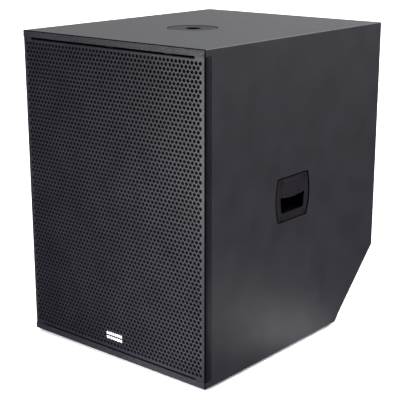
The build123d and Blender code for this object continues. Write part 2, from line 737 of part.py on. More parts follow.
with BuildPart() as dust_cap:
    with BuildSketch(WOOFER_SECTION):
        with BuildLine():
            rim = cone_depth(CAP_RADIUS)
            crown = rim - CAP_RISE
            RadiusArc((CAP_RADIUS, rim), (0, crown), CAP_SPHERE)
            Line((0, crown), (0, crown + CAP_THICK))
            RadiusArc((0, crown + CAP_THICK), (CAP_RADIUS - CAP_THICK, rim), -CAP_SPHERE)
            Line((CAP_RADIUS - CAP_THICK, rim), (CAP_RADIUS, rim))
        make_face()
    revolve(axis=WOOFER_AXIS)
save(dust_cap, "dust_cap")

with BuildPart() as surround:
    with BuildSketch(WOOFER_SECTION):
        surround_radii = (CONE_SHOULDER, CONE_RADIUS, SURROUND_WAVE_END, SURROUND_RADIUS)
        corrugated_section(surround_radii, depth=SEAT - 0.6, height=6.0, waves=2, thickness=1.2)
    revolve(axis=WOOFER_AXIS)
save(surround, "surround")

with BuildPart() as spider:
    with BuildSketch(WOOFER_SECTION):
        spider_radii = (FORMER[1], *SPIDER_WAVE, SPIDER_RADIUS)
        corrugated_section(spider_radii, depth=SPIDER_DEPTH - 0.5, height=3.0, waves=5, thickness=0.8)
    revolve(axis=WOOFER_AXIS)
save(spider, "spider")

with BuildPart() as terminal_block:
    woofer_box((-BLOCK_HALF_WIDTH, BLOCK_FRONT, BLOCK_LOW), (BLOCK_HALF_WIDTH, BLOCK_REAR, BLOCK_HIGH))
    fillet(terminal_block.edges().filter_by(Axis.Y).group_by(Axis.Z)[-1], 2.5)
    with BuildSketch(at_depth(BLOCK_REAR)):
        with Locations((-BUTTON_X, BUTTON_HEIGHT), (BUTTON_X, BUTTON_HEIGHT)):
            Circle(BUTTON_RADIUS + 0.05)
    extrude(amount=BLOCK_REAR - BUTTON_FRONT + BUTTON_TRAVEL + 0.5, mode=Mode.SUBTRACT)
    wire_place = (BAFFLE_FRONT + BLOCK_WIRE_DEPTH, WOOFER_Z + BLOCK_HIGH)
    with Locations((-BUTTON_X, *wire_place), (BUTTON_X, *wire_place)):
        Cylinder(1.5, 6.0, align=BELOW, mode=Mode.SUBTRACT)
save(terminal_block, "terminal_block")


def push_button(x):
    """A round button with a rounded cap, in the rear face of the terminal block."""
    with BuildPart() as button:
        with BuildSketch(at_depth(BUTTON_REAR)):
            with Locations((x, BUTTON_HEIGHT)):
                Circle(BUTTON_RADIUS)
        extrude(amount=BUTTON_REAR - BUTTON_FRONT)
        fillet(button.edges().group_by(Axis.Y)[-1], 1.0)
    return button


push_button_red = push_button(BUTTON_X)
save(push_button_red, "push_button_red")

push_button_black = push_button(-BUTTON_X)
save(push_button_black, "push_button_black")


def cable(points, radius, start_tangent, end_tangent):
    """A round cable along a smooth line through the points."""
    with BuildLine(mode=Mode.PRIVATE) as path:
        Spline(*points, tangents=(start_tangent, end_tangent))
    with BuildSketch(Plane(origin=path.line @ 0, z_dir=path.line % 0)) as section:
        Circle(radius)
    sweep(section.sketch, path=path.line)


LEAD_RADIUS = 1.2
LEAD_END = 98.0  # height above the woofer's axis where a lead meets the cone
# A lead's way from the terminal block to the back of the cone: x, depth and height above the axis
LEAD_WAY = [
    (19.0, BLOCK_FRONT - 0.2, 130.0),
    (38.0, 78.0, 128.0),
    (34.0, cone_depth(LEAD_END) + 9.0, LEAD_END - 5.0),
]

with BuildPart() as lead_wires:
    for side in (-1, 1):
        way = [(side * x, BAFFLE_FRONT + depth, WOOFER_Z + height) for x, depth, height in LEAD_WAY]
        cable(way, LEAD_RADIUS, (0, -1, 0), (0, -0.6, -0.8))
save(lead_wires, "lead_wires")

WASHER = 1.2

with BuildPart(at_depth(FRAME_FRONT)) as woofer_washers:
    with PolarLocations(BOLT_CIRCLE, BOLT_COUNT, start_angle=22.5):
        Cylinder(6.0, WASHER, align=ABOVE)
        Cylinder(M6 + 0.2, WASHER, align=ABOVE, mode=Mode.SUBTRACT)
save(woofer_washers, "woofer_washers")

with BuildPart(at_depth(FRAME_FRONT - WASHER)) as woofer_bolts:
    with PolarLocations(BOLT_CIRCLE, BOLT_COUNT, start_angle=22.5):
        Cylinder(M6, 35.0, align=BELOW)
        Cylinder(5.0, 6.0, align=ABOVE)
    with BuildSketch(at_depth(FRAME_FRONT - WASHER - 6)):
        with PolarLocations(BOLT_CIRCLE, BOLT_COUNT, start_angle=22.5):
            RegularPolygon(2.9, 6)
    extrude(amount=-3.0, mode=Mode.SUBTRACT)
save(woofer_bolts, "woofer_bolts")

with BuildPart(at_depth(BAFFLE)) as woofer_tee_nuts:
    with PolarLocations(BOLT_CIRCLE, BOLT_COUNT, start_angle=22.5):
        Cylinder(TEE_NUT_BARREL, BAFFLE - 2, align=ABOVE)
        Cylinder(11.0, 1.5, align=BELOW)
        Cylinder(M6, 2 * BAFFLE, mode=Mode.SUBTRACT)
save(woofer_tee_nuts, "woofer_tee_nuts")

# ---------------------------------------------------------------- ports

PORT_LIP = 5.0
PORT_FLARE = 12.0


def port_tube(x):
    """A port tube with a flared mouth and a screwed flange."""
    axis = Axis((x, BAFFLE_FRONT, PORT_Z), (0, 1, 0))
    flare_start = PORT_FLARE - PORT_LIP
    with BuildPart() as tube:
        with BuildSketch(Plane(origin=(x, BAFFLE_FRONT, PORT_Z))):
            with BuildLine():
                Polyline(
                    (PORT_BORE + PORT_FLARE, -PORT_LIP),
                    (PORT_FLANGE, -PORT_LIP),
                    (PORT_FLANGE, 0),
                    (PORT_BORE + PORT_WALL, 0),
                    (PORT_BORE + PORT_WALL, PORT_LENGTH),
                    (PORT_BORE, PORT_LENGTH),
                    (PORT_BORE, flare_start),
                )
                RadiusArc((PORT_BORE, flare_start), (PORT_BORE + PORT_FLARE, -PORT_LIP), -PORT_FLARE)
            make_face()
        revolve(axis=axis)
        with BuildSketch(front_plane(BAFFLE_FRONT)):
            with Locations((x, PORT_Z)):
                with PolarLocations(PORT_SCREW_CIRCLE, 4, start_angle=45):
                    Circle(WOOD_SCREW)
        extrude(amount=PORT_LIP, mode=Mode.SUBTRACT)
    return tube


port_tube_left = port_tube(-PORT_X)
save(port_tube_left, "port_tube_left")

port_tube_right = port_tube(PORT_X)
save(port_tube_right, "port_tube_right")

with BuildPart(front_plane(BAFFLE_FRONT - PORT_LIP)) as port_screws:
    for port_x in (-PORT_X, PORT_X):
        with Locations((port_x, PORT_Z)):
            with PolarLocations(PORT_SCREW_CIRCLE, 4, start_angle=45):
                screw(WOOD_SCREW, 20.0, 4.0, 2.0)
save(port_screws, "port_screws")

# ---------------------------------------------------------------- handles

HANDLE_GASKET = 1.0
HANDLE_FLANGE = 3.0
HANDLE_FACE = HANDLE_RECESS - HANDLE_GASKET - HANDLE_FLANGE  # depth of the flange's face in the recess
HANDLE_FOOT = HANDLE_RECESS - HANDLE_GASKET  # depth of the flange's inner face
CUP_DEPTH = 45.0
CUP_WALL = 2.5
GRIP_WALL = 5.0  # thickness of the rim that the fingers pull on
GRIP_FIELD = (88.0, 34.0)  # raised field of the flange above the opening
GRIP_HEIGHT = 26.0
GRIP_RISE = 0.3
HANDLE_SCREW_HEAD = 3.8
HANDLE_SCREW_ROOM = 0.8  # round each head
HANDLE_SCREW_SINK = 2.0
HANDLE_SCREW_SEAT = HANDLE_FACE + HANDLE_SCREW_SINK  # depth of the heads' seats below the panel's face

with BuildPart() as handle_right:
    with BuildSketch(HANDLE_RIGHT.offset(-HANDLE_FOOT)):
        handle_outline()
    extrude(amount=HANDLE_FLANGE)
    fillet(handle_right.faces().sort_by(Axis.X)[-1].edges(), 0.8)
    with BuildSketch(HANDLE_RIGHT.offset(-HANDLE_FACE)):
        with Locations((0, GRIP_HEIGHT)):
            RectangleRounded(*GRIP_FIELD, 9.0)
    extrude(amount=GRIP_RISE, taper=50)
    with BuildSketch(HANDLE_RIGHT.offset(-HANDLE_FOOT)):
        RectangleRounded(2 * CUP_HALF_WIDTH, 2 * CUP_HALF_HEIGHT, 8.0)
    extrude(amount=-CUP_DEPTH)
    with BuildSketch(HANDLE_RIGHT.offset(-HANDLE_FACE - GRIP_WALL)):
        RectangleRounded(2 * (CUP_HALF_WIDTH - CUP_WALL), 2 * (CUP_HALF_HEIGHT - CUP_WALL), 6.0)
    extrude(amount=-(HANDLE_FLANGE + CUP_DEPTH - CUP_WALL - GRIP_WALL), mode=Mode.SUBTRACT)
    with BuildSketch(HANDLE_RIGHT):
        handle_opening()
    extrude(amount=-(HANDLE_FACE + GRIP_WALL), mode=Mode.SUBTRACT)
    with BuildSketch(HANDLE_RIGHT):
        with Locations(*HANDLE_SCREWS):
            Circle(WOOD_SCREW)
    extrude(amount=-HANDLE_RECESS, mode=Mode.SUBTRACT)
    with BuildSketch(HANDLE_RIGHT):
        with Locations(*HANDLE_SCREWS):
            Circle(HANDLE_SCREW_HEAD + HANDLE_SCREW_ROOM)
    extrude(amount=-HANDLE_SCREW_SEAT, mode=Mode.SUBTRACT)
save(handle_right, "handle_right")

with BuildPart() as handle_left:
    mirror(handle_right.part, about=Plane.YZ)
save(handle_left, "handle_left")

with BuildPart() as handle_gasket_right:
    with BuildSketch(HANDLE_RIGHT.offset(-HANDLE_RECESS)):
        handle_outline()
        RectangleRounded(2 * CUP_HALF_WIDTH + 2, 2 * CUP_HALF_HEIGHT + 2, 9.0, mode=Mode.SUBTRACT)
        with Locations(*HANDLE_SCREWS):
            Circle(WOOD_SCREW, mode=Mode.SUBTRACT)
    extrude(amount=HANDLE_GASKET)
save(handle_gasket_right, "handle_gasket_right")

with BuildPart() as handle_gasket_left:
    mirror(handle_gasket_right.part, about=Plane.YZ)
save(handle_gasket_left, "handle_gasket_left")

with BuildPart(HANDLE_RIGHT.offset(-HANDLE_SCREW_SEAT)) as handle_screws:
    with Locations(*HANDLE_SCREWS):
        screw(WOOD_SCREW, PANEL - HANDLE_SCREW_SEAT, HANDLE_SCREW_HEAD, 1.6)
    mirror(about=Plane.YZ)
save(handle_screws, "handle_screws")

# ---------------------------------------------------------------- pole socket

POLE_FLOOR = POLE_RECESS - POLE_FLANGE_THICK
POLE_LIP = POLE_FLOOR + 0.6
POLE_CHAMFER = 2.0
DISH_INNER = POLE_BORE + 12.0
DISH_OUTER = POLE_FLANGE - 8.0
POLE_SCREW_HEAD = 4.0
POLE_SCREW_SINK = 1.6  # the heads are flush with the flange

with BuildPart() as pole_socket:
    with BuildSketch(Plane(origin=(0, POLE_Y, TOP), x_dir=(1, 0, 0), z_dir=(0, -1, 0))):
        with BuildLine():
            Polyline(
                (POLE_BORE, -POLE_LIP - POLE_CHAMFER),
                (POLE_BORE + POLE_CHAMFER, -POLE_LIP),
                (DISH_INNER, -POLE_LIP),
                (DISH_OUTER, -POLE_FLOOR),
                (POLE_FLANGE, -POLE_FLOOR),
                (POLE_FLANGE, -POLE_RECESS),
                (POLE_BORE + POLE_WALL, -POLE_RECESS),
                (POLE_BORE + POLE_WALL, -POLE_DEPTH - POLE_WALL),
                (0, -POLE_DEPTH - POLE_WALL),
                (0, -POLE_DEPTH),
                (POLE_BORE, -POLE_DEPTH),
                close=True,
            )
        make_face()
    revolve(axis=Axis((0, POLE_Y, TOP), (0, 0, 1)))
    with Locations((0, POLE_Y, TOP)):
        with PolarLocations(POLE_SCREW_CIRCLE, POLE_SCREW_COUNT, start_angle=45):
            Cylinder(WOOD_SCREW, PANEL, align=BELOW, mode=Mode.SUBTRACT)
            Cylinder(POLE_SCREW_HEAD, POLE_FLOOR + POLE_SCREW_SINK, align=BELOW, mode=Mode.SUBTRACT)
save(pole_socket, "pole_socket")

with BuildPart(Plane(origin=(0, POLE_Y, TOP - POLE_FLOOR - POLE_SCREW_SINK))) as pole_socket_screws:
    with PolarLocations(POLE_SCREW_CIRCLE, POLE_SCREW_COUNT, start_angle=45):
        screw(WOOD_SCREW, PANEL - POLE_FLOOR - POLE_SCREW_SINK, POLE_SCREW_HEAD, POLE_SCREW_SINK)
save(pole_socket_screws, "pole_socket_screws")

# ---------------------------------------------------------------- rear terminals

SOCKET_X = 40.0
SOCKET_HOLE = 12.0
SOCKET_FLANGE = (26.0, 31.0)
SOCKET_FLANGE_THICK = 2.5
SOCKET_BODY = 27.5
SOCKET_CAVITY = (5.5, 10.2, 20.0)
SOCKET_SCREWS = [(-9.5, 12.0), (9.5, -12.0)]
SMALL_SCREW = 1.5
PLATE_INNER = PLATE_RECESS - PLATE_GASKET  # depth of the plate's inner face below the back panel
PLATE_OUTER = PLATE_INNER - PLATE_THICK
CONTACT_PITCH = 12.0
CONTACT = (0.8, 4.8, 8.0)

with BuildPart() as terminal_plate:
    with BuildSketch(TERMINAL_REAR.offset(-PLATE_INNER)):
        RectangleRounded(PLATE_WIDTH, PLATE_HEIGHT, PLATE_CORNER)
        with Locations(*PLATE_SCREWS):
            Circle(WOOD_SCREW, mode=Mode.SUBTRACT)
        with Locations((-SOCKET_X, 0), (SOCKET_X, 0)):
            Circle(SOCKET_HOLE, mode=Mode.SUBTRACT)
            with Locations(*SOCKET_SCREWS):
                Circle(SMALL_SCREW, mode=Mode.SUBTRACT)
    extrude(amount=PLATE_THICK)
save(terminal_plate, "terminal_plate")

with BuildPart() as terminal_plate_gasket:
    with BuildSketch(TERMINAL_REAR.offset(-PLATE_RECESS)):
        RectangleRounded(PLATE_WIDTH, PLATE_HEIGHT, PLATE_CORNER)
        RectangleRounded(OPENING_WIDTH, OPENING_HEIGHT, PLATE_CORNER, mode=Mode.SUBTRACT)
        with Locations(*PLATE_SCREWS):
            Circle(WOOD_SCREW, mode=Mode.SUBTRACT)
    extrude(amount=PLATE_GASKET)
save(terminal_plate_gasket, "terminal_plate_gasket")

with BuildPart(TERMINAL_REAR.offset(-PLATE_OUTER)) as terminal_plate_screws:
    with Locations(*PLATE_SCREWS):
        screw(WOOD_SCREW, PANEL - PLATE_OUTER, 4.0, 2.0)
save(terminal_plate_screws, "terminal_plate_screws")


def speaker_socket(x):
    """A four-pole locking chassis socket: flange, barrel, ring-shaped cavity and two key slots."""
    face = TERMINAL_REAR.offset(-PLATE_OUTER + SOCKET_FLANGE_THICK)
    with BuildPart() as socket:
        with BuildSketch(TERMINAL_REAR.offset(-PLATE_OUTER)):
            with Locations((x, 0)):
                RectangleRounded(*SOCKET_FLANGE, 2.0)
                with Locations(*SOCKET_SCREWS):
                    Circle(SMALL_SCREW, mode=Mode.SUBTRACT)
        extrude(amount=SOCKET_FLANGE_THICK)
        with BuildSketch(TERMINAL_REAR.offset(-PLATE_OUTER)):
            with Locations((x, 0)):
                Circle(SOCKET_HOLE - 0.1)
        extrude(amount=-SOCKET_BODY)
        with BuildSketch(face):
            with Locations((x, 0)):
                Circle(SOCKET_CAVITY[1])
                Rectangle(3.0, 22.0)
                Circle(SOCKET_CAVITY[0], mode=Mode.SUBTRACT)
        extrude(amount=-SOCKET_CAVITY[2], mode=Mode.SUBTRACT)
    return socket


speaker_socket_in = speaker_socket(-SOCKET_X)
save(speaker_socket_in, "speaker_socket_in")

speaker_socket_out = speaker_socket(SOCKET_X)
save(speaker_socket_out, "speaker_socket_out")

with BuildPart(TERMINAL_REAR.offset(-PLATE_OUTER - SOCKET_BODY)) as socket_contacts:
    with Locations((-SOCKET_X, 0), (SOCKET_X, 0)):
        with GridLocations(CONTACT_PITCH, CONTACT_PITCH, 2, 2):
            Box(*CONTACT, align=BELOW)
save(socket_contacts, "socket_contacts")

with BuildPart(TERMINAL_REAR.offset(-PLATE_OUTER + SOCKET_FLANGE_THICK)) as socket_screws:
    for socket_x in (-SOCKET_X, SOCKET_X):
        with Locations((socket_x, 0)):
            with Locations(*SOCKET_SCREWS):
                screw(SMALL_SCREW, 8.0, 2.8, 1.6)
save(socket_screws, "socket_screws")

CABLE_RADIUS = 2.2
CONTACT_END = REAR - PLATE_OUTER - SOCKET_BODY - CONTACT[2] - 0.3
BLOCK_TOP_Z = WOOFER_Z + BLOCK_HIGH
BLOCK_WIRE_Y = BAFFLE_FRONT + BLOCK_WIRE_DEPTH

# Between the two cross struts, over the magnet and down to the block: x, y and z of each bend
RED_WAY = [(65.0, STRUT_Y, 520.0), (50.0, 0.0, 600.0), (30.0, -120.0, 668.0)]
BLACK_WAY = [(82.0, STRUT_Y, 510.0), (70.0, 0.0, 590.0), (20.0, -122.0, 682.0)]


def speaker_cable(side, way):
    """A cable from one contact of the input socket to the terminal block. side is -1 or 1."""
    start = (SOCKET_X + side * CONTACT_PITCH / 2, CONTACT_END, TERMINAL_Z - side * CONTACT_PITCH / 2)
    end = (-side * BUTTON_X, BLOCK_WIRE_Y, BLOCK_TOP_Z + 0.3)
    with BuildPart() as run:
        cable([start, *way, end], CABLE_RADIUS, (0, -1, 0), (0, 0, -1))
    return run


speaker_cable_red = speaker_cable(-1, RED_WAY)
save(speaker_cable_red, "speaker_cable_red")

speaker_cable_black = speaker_cable(1, BLACK_WAY)
save(speaker_cable_black, "speaker_cable_black")

# ---------------------------------------------------------------- feet

FOOT_BORE = 6.0
FOOT_FLOOR = 3.5

with BuildPart() as rubber_feet:
    with Locations(*[(x, y, 0) for x, y in FEET]):
        Cylinder(FOOT_RADIUS, FOOT_HEIGHT, align=ABOVE)
    chamfer(rubber_feet.edges().group_by(Axis.Z)[0], 2.0)
    with Locations(*[(x, y, 0) for x, y in FEET]):
        Cylinder(FOOT_BORE, FOOT_HEIGHT - FOOT_FLOOR, align=ABOVE, mode=Mode.SUBTRACT)
        Cylinder(WOOD_SCREW, FOOT_HEIGHT, align=ABOVE, mode=Mode.SUBTRACT)
save(rubber_feet, "rubber_feet")

FOOT_SCREW_PLANE = Plane(origin=(0, 0, FOOT_HEIGHT - FOOT_FLOOR), x_dir=(1, 0, 0), z_dir=(0, 0, -1))

with BuildPart(FOOT_SCREW_PLANE) as foot_screws:
    with Locations(*[(x, -y) for x, y in FEET]):
        screw(WOOD_SCREW, FOOT_FLOOR + 12.0, 4.5, 2.0)
save(foot_screws, "foot_screws")
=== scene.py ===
import json
import math

import bmesh
import bpy
import numpy as np
from mathutils import Euler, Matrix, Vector, noise


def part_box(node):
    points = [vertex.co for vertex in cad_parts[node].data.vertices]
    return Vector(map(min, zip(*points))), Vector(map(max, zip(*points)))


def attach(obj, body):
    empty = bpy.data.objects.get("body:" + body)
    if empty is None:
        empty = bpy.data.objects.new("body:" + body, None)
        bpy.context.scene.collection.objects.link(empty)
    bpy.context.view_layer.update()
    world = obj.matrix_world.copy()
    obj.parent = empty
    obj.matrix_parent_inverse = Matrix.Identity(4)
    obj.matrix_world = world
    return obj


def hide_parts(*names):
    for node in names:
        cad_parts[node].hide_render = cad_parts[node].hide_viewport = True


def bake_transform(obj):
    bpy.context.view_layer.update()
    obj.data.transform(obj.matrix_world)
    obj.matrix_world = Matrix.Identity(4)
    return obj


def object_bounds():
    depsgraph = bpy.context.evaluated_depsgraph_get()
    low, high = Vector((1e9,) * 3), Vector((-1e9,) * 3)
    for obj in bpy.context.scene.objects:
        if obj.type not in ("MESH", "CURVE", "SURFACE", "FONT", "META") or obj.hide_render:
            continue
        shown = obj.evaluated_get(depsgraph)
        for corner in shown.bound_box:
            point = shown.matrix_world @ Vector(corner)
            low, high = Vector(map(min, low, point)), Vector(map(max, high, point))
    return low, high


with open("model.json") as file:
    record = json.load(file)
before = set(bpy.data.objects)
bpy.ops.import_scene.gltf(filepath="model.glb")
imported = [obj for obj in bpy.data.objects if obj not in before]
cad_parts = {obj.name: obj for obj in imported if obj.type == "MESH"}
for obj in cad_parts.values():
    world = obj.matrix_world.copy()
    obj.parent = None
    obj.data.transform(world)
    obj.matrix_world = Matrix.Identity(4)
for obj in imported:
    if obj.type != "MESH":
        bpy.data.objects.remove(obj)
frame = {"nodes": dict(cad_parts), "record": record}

CAD_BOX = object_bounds()
NODES = frame["nodes"]
SLOT_OF = {row["node"]: row["material_slot"] for row in frame["record"]["subparts"]}
BODY_OF = {
    node: body for body, members in frame["record"]["behaviour"]["bodies"].items() for node in members
}
MM = 0.001

# ---------------------------------------------------------------- shader helpers


class Shader:
    """A material under construction: nodes are added by type, and inputs are given by name."""

    def __init__(self, name):
        self.material = bpy.data.materials.new(name)
        self.material.use_nodes = True
        self.tree = self.material.node_tree
        self.body = self.tree.nodes["Principled BSDF"]
        self.place = self.add("ShaderNodeTexCoord").outputs["Object"]

    def add(self, kind, settings=None, **inputs):
        """A new node. An input value may be a number, a tuple or another node's output."""
        node = self.tree.nodes.new(kind)
        for key, value in (settings or {}).items():
            setattr(node, key, value)
        for key, value in inputs.items():
            self.set(node, key.replace("_", " "), value)
        return node

    def set(self, node, key, value):
        socket = node.inputs[int(key) if key.isdigit() else key]
        if isinstance(value, bpy.types.NodeSocket):
            self.tree.links.new(value, socket)
        else:
            socket.default_value = value

    def finish(self, key, value):
        """Sets one of the principled shader's inputs."""
        self.set(self.body, key, value)

    def noise(self, scale, detail=3.0, roughness=0.5, place=None):
        """Grey noise from 0 to 1; scale is in features per metre."""
        node = self.add(
            "ShaderNodeTexNoise", Vector=place or self.place, Scale=scale, Detail=detail, Roughness=roughness
        )
        return node.outputs["Fac"]

    def stretch(self, x, y, z):
        """Object coordinates scaled by a different factor along each axis."""
        return self.add("ShaderNodeMapping", Vector=self.place, Scale=(x, y, z)).outputs["Vector"]

    def math(self, operation, first, second=0.0, clamp=False):
        node = self.add("ShaderNodeMath", {"operation": operation, "use_clamp": clamp})
        self.set(node, "0", first)
        self.set(node, "1", second)
        return node.outputs[0]

    def remap(self, value, low, high, to_low, to_high):
        node = self.add("ShaderNodeMapRange", Value=value)
        for key, number in zip(("From Min", "From Max", "To Min", "To Max"), (low, high, to_low, to_high)):
            node.inputs[key].default_value = number
        return node.outputs["Result"]

    def mix(self, factor, first, second):
        """A colour between two colours."""
        node = self.add("ShaderNodeMix", {"data_type": "RGBA"})
        self.set(node, "0", factor)
        for index, colour in ((6, first), (7, second)):
            value = colour if isinstance(colour, bpy.types.NodeSocket) else (*colour[:3], 1.0)
            self.set(node, str(index), value)
        return node.outputs[2]

    def bump(self, height, depth, strength=1.0, below=None):
        """A normal from a height field whose full range is depth metres."""
        node = self.add("ShaderNodeBump", Height=height, Distance=depth, Strength=strength)
        if below is not None:
            self.set(node, "Normal", below)
        return node.outputs["Normal"]

    def cavity(self, distance, low, high):
        """1 where the share of open sky within distance is above high, and 0 where it is below low."""
        open_share = self.add("ShaderNodeAmbientOcclusion", {"samples": 6}, Distance=distance).outputs["AO"]
        return self.remap(open_share, low, high, 0.0, 1.0)

    def turned(self, x, y, z):
        """How far a face turns towards every world direction picked by a sign, from 0 to 1."""
        parts = self.add("ShaderNodeSeparateXYZ", Vector=self.add("ShaderNodeNewGeometry").outputs["Normal"])
        product = 1.0
        for name, sign in (("X", x), ("Y", y), ("Z", z)):
            if sign:
                share = self.math("MULTIPLY", parts.outputs[name], float(sign), True)
                product = self.math("MULTIPLY", product, share)
        return product

    def edge(self, radius, low=0.02, high=0.25):
        """Near 1 on convex edges and corners, 0 on flat faces."""
        soft = self.add("ShaderNodeBevel", {"samples": 4}, Radius=radius).outputs["Normal"]
        true = self.add("ShaderNodeNewGeometry").outputs["True Normal"]
        dot = self.add("ShaderNodeVectorMath", {"operation": "DOT_PRODUCT"})
        self.set(dot, "0", soft)
        self.set(dot, "1", true)
        return self.remap(self.math("SUBTRACT", 1.0, dot.outputs["Value"]), low, high, 0.0, 1.0)


# ---------------------------------------------------------------- materials


def paint_material(
    name, colour, pebble, roughness, depth, shine=0.5, hollow=6.0 * MM, open_sky=(0.15, 0.75), speckle=0.0
):
    """Textured black paint: fine pebble over a soft waviness, lighter where edges are rubbed.

    It is painted dark, as painted shade, where the share of open sky within hollow is low (open_sky gives the
    dark and the lit share) and on rounded edges turned to the front; faces that look up get a painted tint of
    the overhead light.
    """
    s = Shader(name)
    waviness = s.noise(14.0, 2.0)
    fine = s.noise(pebble, 2.0, 0.55)
    coarse = s.noise(pebble * 0.31, 3.0, 0.6)
    scuffs = s.noise(60.0, 6.0, 0.7, s.stretch(1.0, 1.0, 0.35))
    worn = s.math("MULTIPLY", s.edge(2.2 * MM), s.remap(scuffs, 0.42, 0.68, 0.0, 0.55), True)
    lighter = tuple(c * 1.22 + 0.002 for c in colour)
    base = s.mix(s.remap(waviness, 0.35, 0.65, 0.0, 1.0), colour, lighter)
    # a painted greenish-grey tint of the overhead light on faces that look up
    painted_overhead_tint = (colour[0], colour[1] * 1.22, colour[2] * 0.96)
    base = s.mix(s.remap(s.turned(0, 0, 1), 0.85, 1.0, 0.0, 0.6), base, painted_overhead_tint)
    rubbed = tuple(c * 1.5 + 0.008 for c in colour)
    base = s.mix(worn, base, rubbed)
    # painted shade: rounded edges that turn towards the front are painted dark, in place of the unlit space
    # between the lights that they would mirror
    turned = s.math("ADD", s.turned(1, -1, 0), s.turned(0, -1, 1))
    unlit = s.remap(turned, 0.01, 0.11, 1.0, 0.0)
    painted_light_share = s.math("MULTIPLY", s.cavity(hollow, *open_sky), unlit)
    if speckle:
        # the front edges are cut plywood under the paint: duller, with an uneven grain
        grains = s.remap(s.noise(420.0, 2.0, 0.7), 0.35, 0.65, -0.3 - speckle, speckle - 0.3)
        frontal = s.remap(s.turned(0, -1, 0), 0.8, 0.95, 0.0, 1.0)
        painted_light_share = s.math("MULTIPLY", painted_light_share, s.math("ADD", 1.0, s.math("MULTIPLY", frontal, grains)))
    # painted shade: in hollows and on those edges the colour falls to 0.15 of itself
    s.finish("Base Color", s.mix(painted_light_share, tuple(c * 0.15 for c in colour), base))
    gloss = s.math(
        "ADD",
        s.remap(fine, 0.3, 0.7, roughness - 0.04, roughness + 0.05),
        s.remap(scuffs, 0.3, 0.7, -0.02, 0.03),
    )
    s.finish("Roughness", gloss)
    # the painted shade also takes the gloss away there
    s.finish("Specular IOR Level", s.math("MULTIPLY", painted_light_share, shine))
    below = s.bump(coarse, depth * 2.0, 0.35)
    s.finish("Normal", s.bump(fine, depth, 0.8, below))
    return s.material


def plain_material(
    name, colour, roughness, metallic=0.0, grain=700.0, depth=0.05, variation=0.25, stretch=None
):
    """A moulded, cast or plated surface: mottled colour, uneven gloss and a grain of depth millimetres."""
    s = Shader(name)
    place = s.stretch(*stretch) if stretch else s.place
    mottle = s.noise(45.0, 4.0, 0.6)
    fine = s.noise(grain, 2.0, 0.5, place)
    darker = tuple(c * (1.0 - variation) for c in colour)
    worn = s.math("MULTIPLY", s.edge(1.0 * MM), s.remap(mottle, 0.4, 0.7, 0.0, 0.5), True)
    base = s.mix(s.remap(mottle, 0.3, 0.7, 0.0, 1.0), darker, colour)
    rubbed = tuple(min(1.0, c * 1.35 + 0.01) for c in colour)
    s.finish("Base Color", s.mix(worn, base, rubbed))
    s.finish("Metallic", metallic)
    s.finish("Roughness", s.remap(s.math("ADD", mottle, fine), 0.7, 1.3, roughness - 0.06, roughness + 0.07))
    s.finish("Normal", s.bump(fine, depth * MM, 0.7))
    return s.material


def foam_material(name, colour, cell):
    """Open-cell foam: pores painted dark as their shade, with thin lighter walls."""
    s = Shader(name)
    cells = s.add("ShaderNodeTexVoronoi", {"feature": "DISTANCE_TO_EDGE"}, Vector=s.place, Scale=cell)
    walls = s.remap(cells.outputs["Distance"], 0.0, 0.12, 1.0, 0.0)
    clumps = s.noise(30.0, 3.0)
    lit_walls = s.math("MULTIPLY", walls, s.remap(clumps, 0.3, 0.7, 0.4, 1.0))
    s.finish("Base Color", s.mix(lit_walls, tuple(c * 0.3 for c in colour), colour))
    s.finish("Roughness", 0.95)
    s.finish("Specular IOR Level", 0.1)
    s.finish("Normal", s.bump(walls, 0.8 * MM, 0.9))
    return s.material


def wadding_material(name, colour):
    """Matted polyester fibre: long soft strands in every direction."""
    s = Shader(name)
    along = s.noise(260.0, 5.0, 0.7, s.stretch(1.0, 0.16, 1.0))
    across = s.noise(260.0, 5.0, 0.7, s.stretch(0.16, 1.0, 1.0))
    upright = s.noise(260.0, 5.0, 0.7, s.stretch(1.0, 1.0, 0.16))
    strands = s.math("MAXIMUM", s.math("MAXIMUM", along, across), upright)
    clumps = s.noise(18.0, 3.0)
    base = s.mix(s.remap(strands, 0.5, 0.75, 0.0, 1.0), tuple(c * 0.55 for c in colour), colour)
    s.finish("Base Color", s.mix(s.remap(clumps, 0.3, 0.7, 0.0, 0.35), base, tuple(c * 0.7 for c in colour)))
    s.finish("Roughness", 0.95)
    s.finish("Sheen Weight", 0.3)
    s.finish("Normal", s.bump(strands, 1.5 * MM, 0.8))
    return s.material


def plywood_material(name, colour):
    """Birch veneer with fine grain along X, and thin plies in the thickness."""
    s = Shader(name)
    grain = s.noise(55.0, 8.0, 0.65, s.stretch(0.06, 1.0, 1.0))
    streaks = s.noise(240.0, 3.0, 0.5, s.stretch(0.03, 1.0, 1.0))
    plies = s.add("ShaderNodeTexWave", {"bands_direction": "Y"}, Vector=s.place, Scale=105.0, Distortion=0.4)
    base = s.mix(s.remap(grain, 0.35, 0.65, 0.0, 1.0), tuple(c * 0.72 for c in colour), colour)
    base = s.mix(s.remap(streaks, 0.55, 0.75, 0.0, 0.5), base, tuple(c * 0.5 for c in colour))
    normal_z = s.add("ShaderNodeSeparateXYZ", Vector=s.add("ShaderNodeNewGeometry").outputs["True Normal"])
    edge_on = s.remap(s.math("ABSOLUTE", normal_z.outputs["Y"]), 0.2, 0.6, 0.35, 0.0)
    base = s.mix(s.math("MULTIPLY", plies.outputs["Fac"], edge_on), base, tuple(c * 0.45 for c in colour))
    s.finish("Base Color", base)
    s.finish("Roughness", s.remap(grain, 0.3, 0.7, 0.5, 0.68))
    s.finish("Normal", s.bump(s.math("ADD", grain, streaks), 0.15 * MM, 0.6))
    return s.material


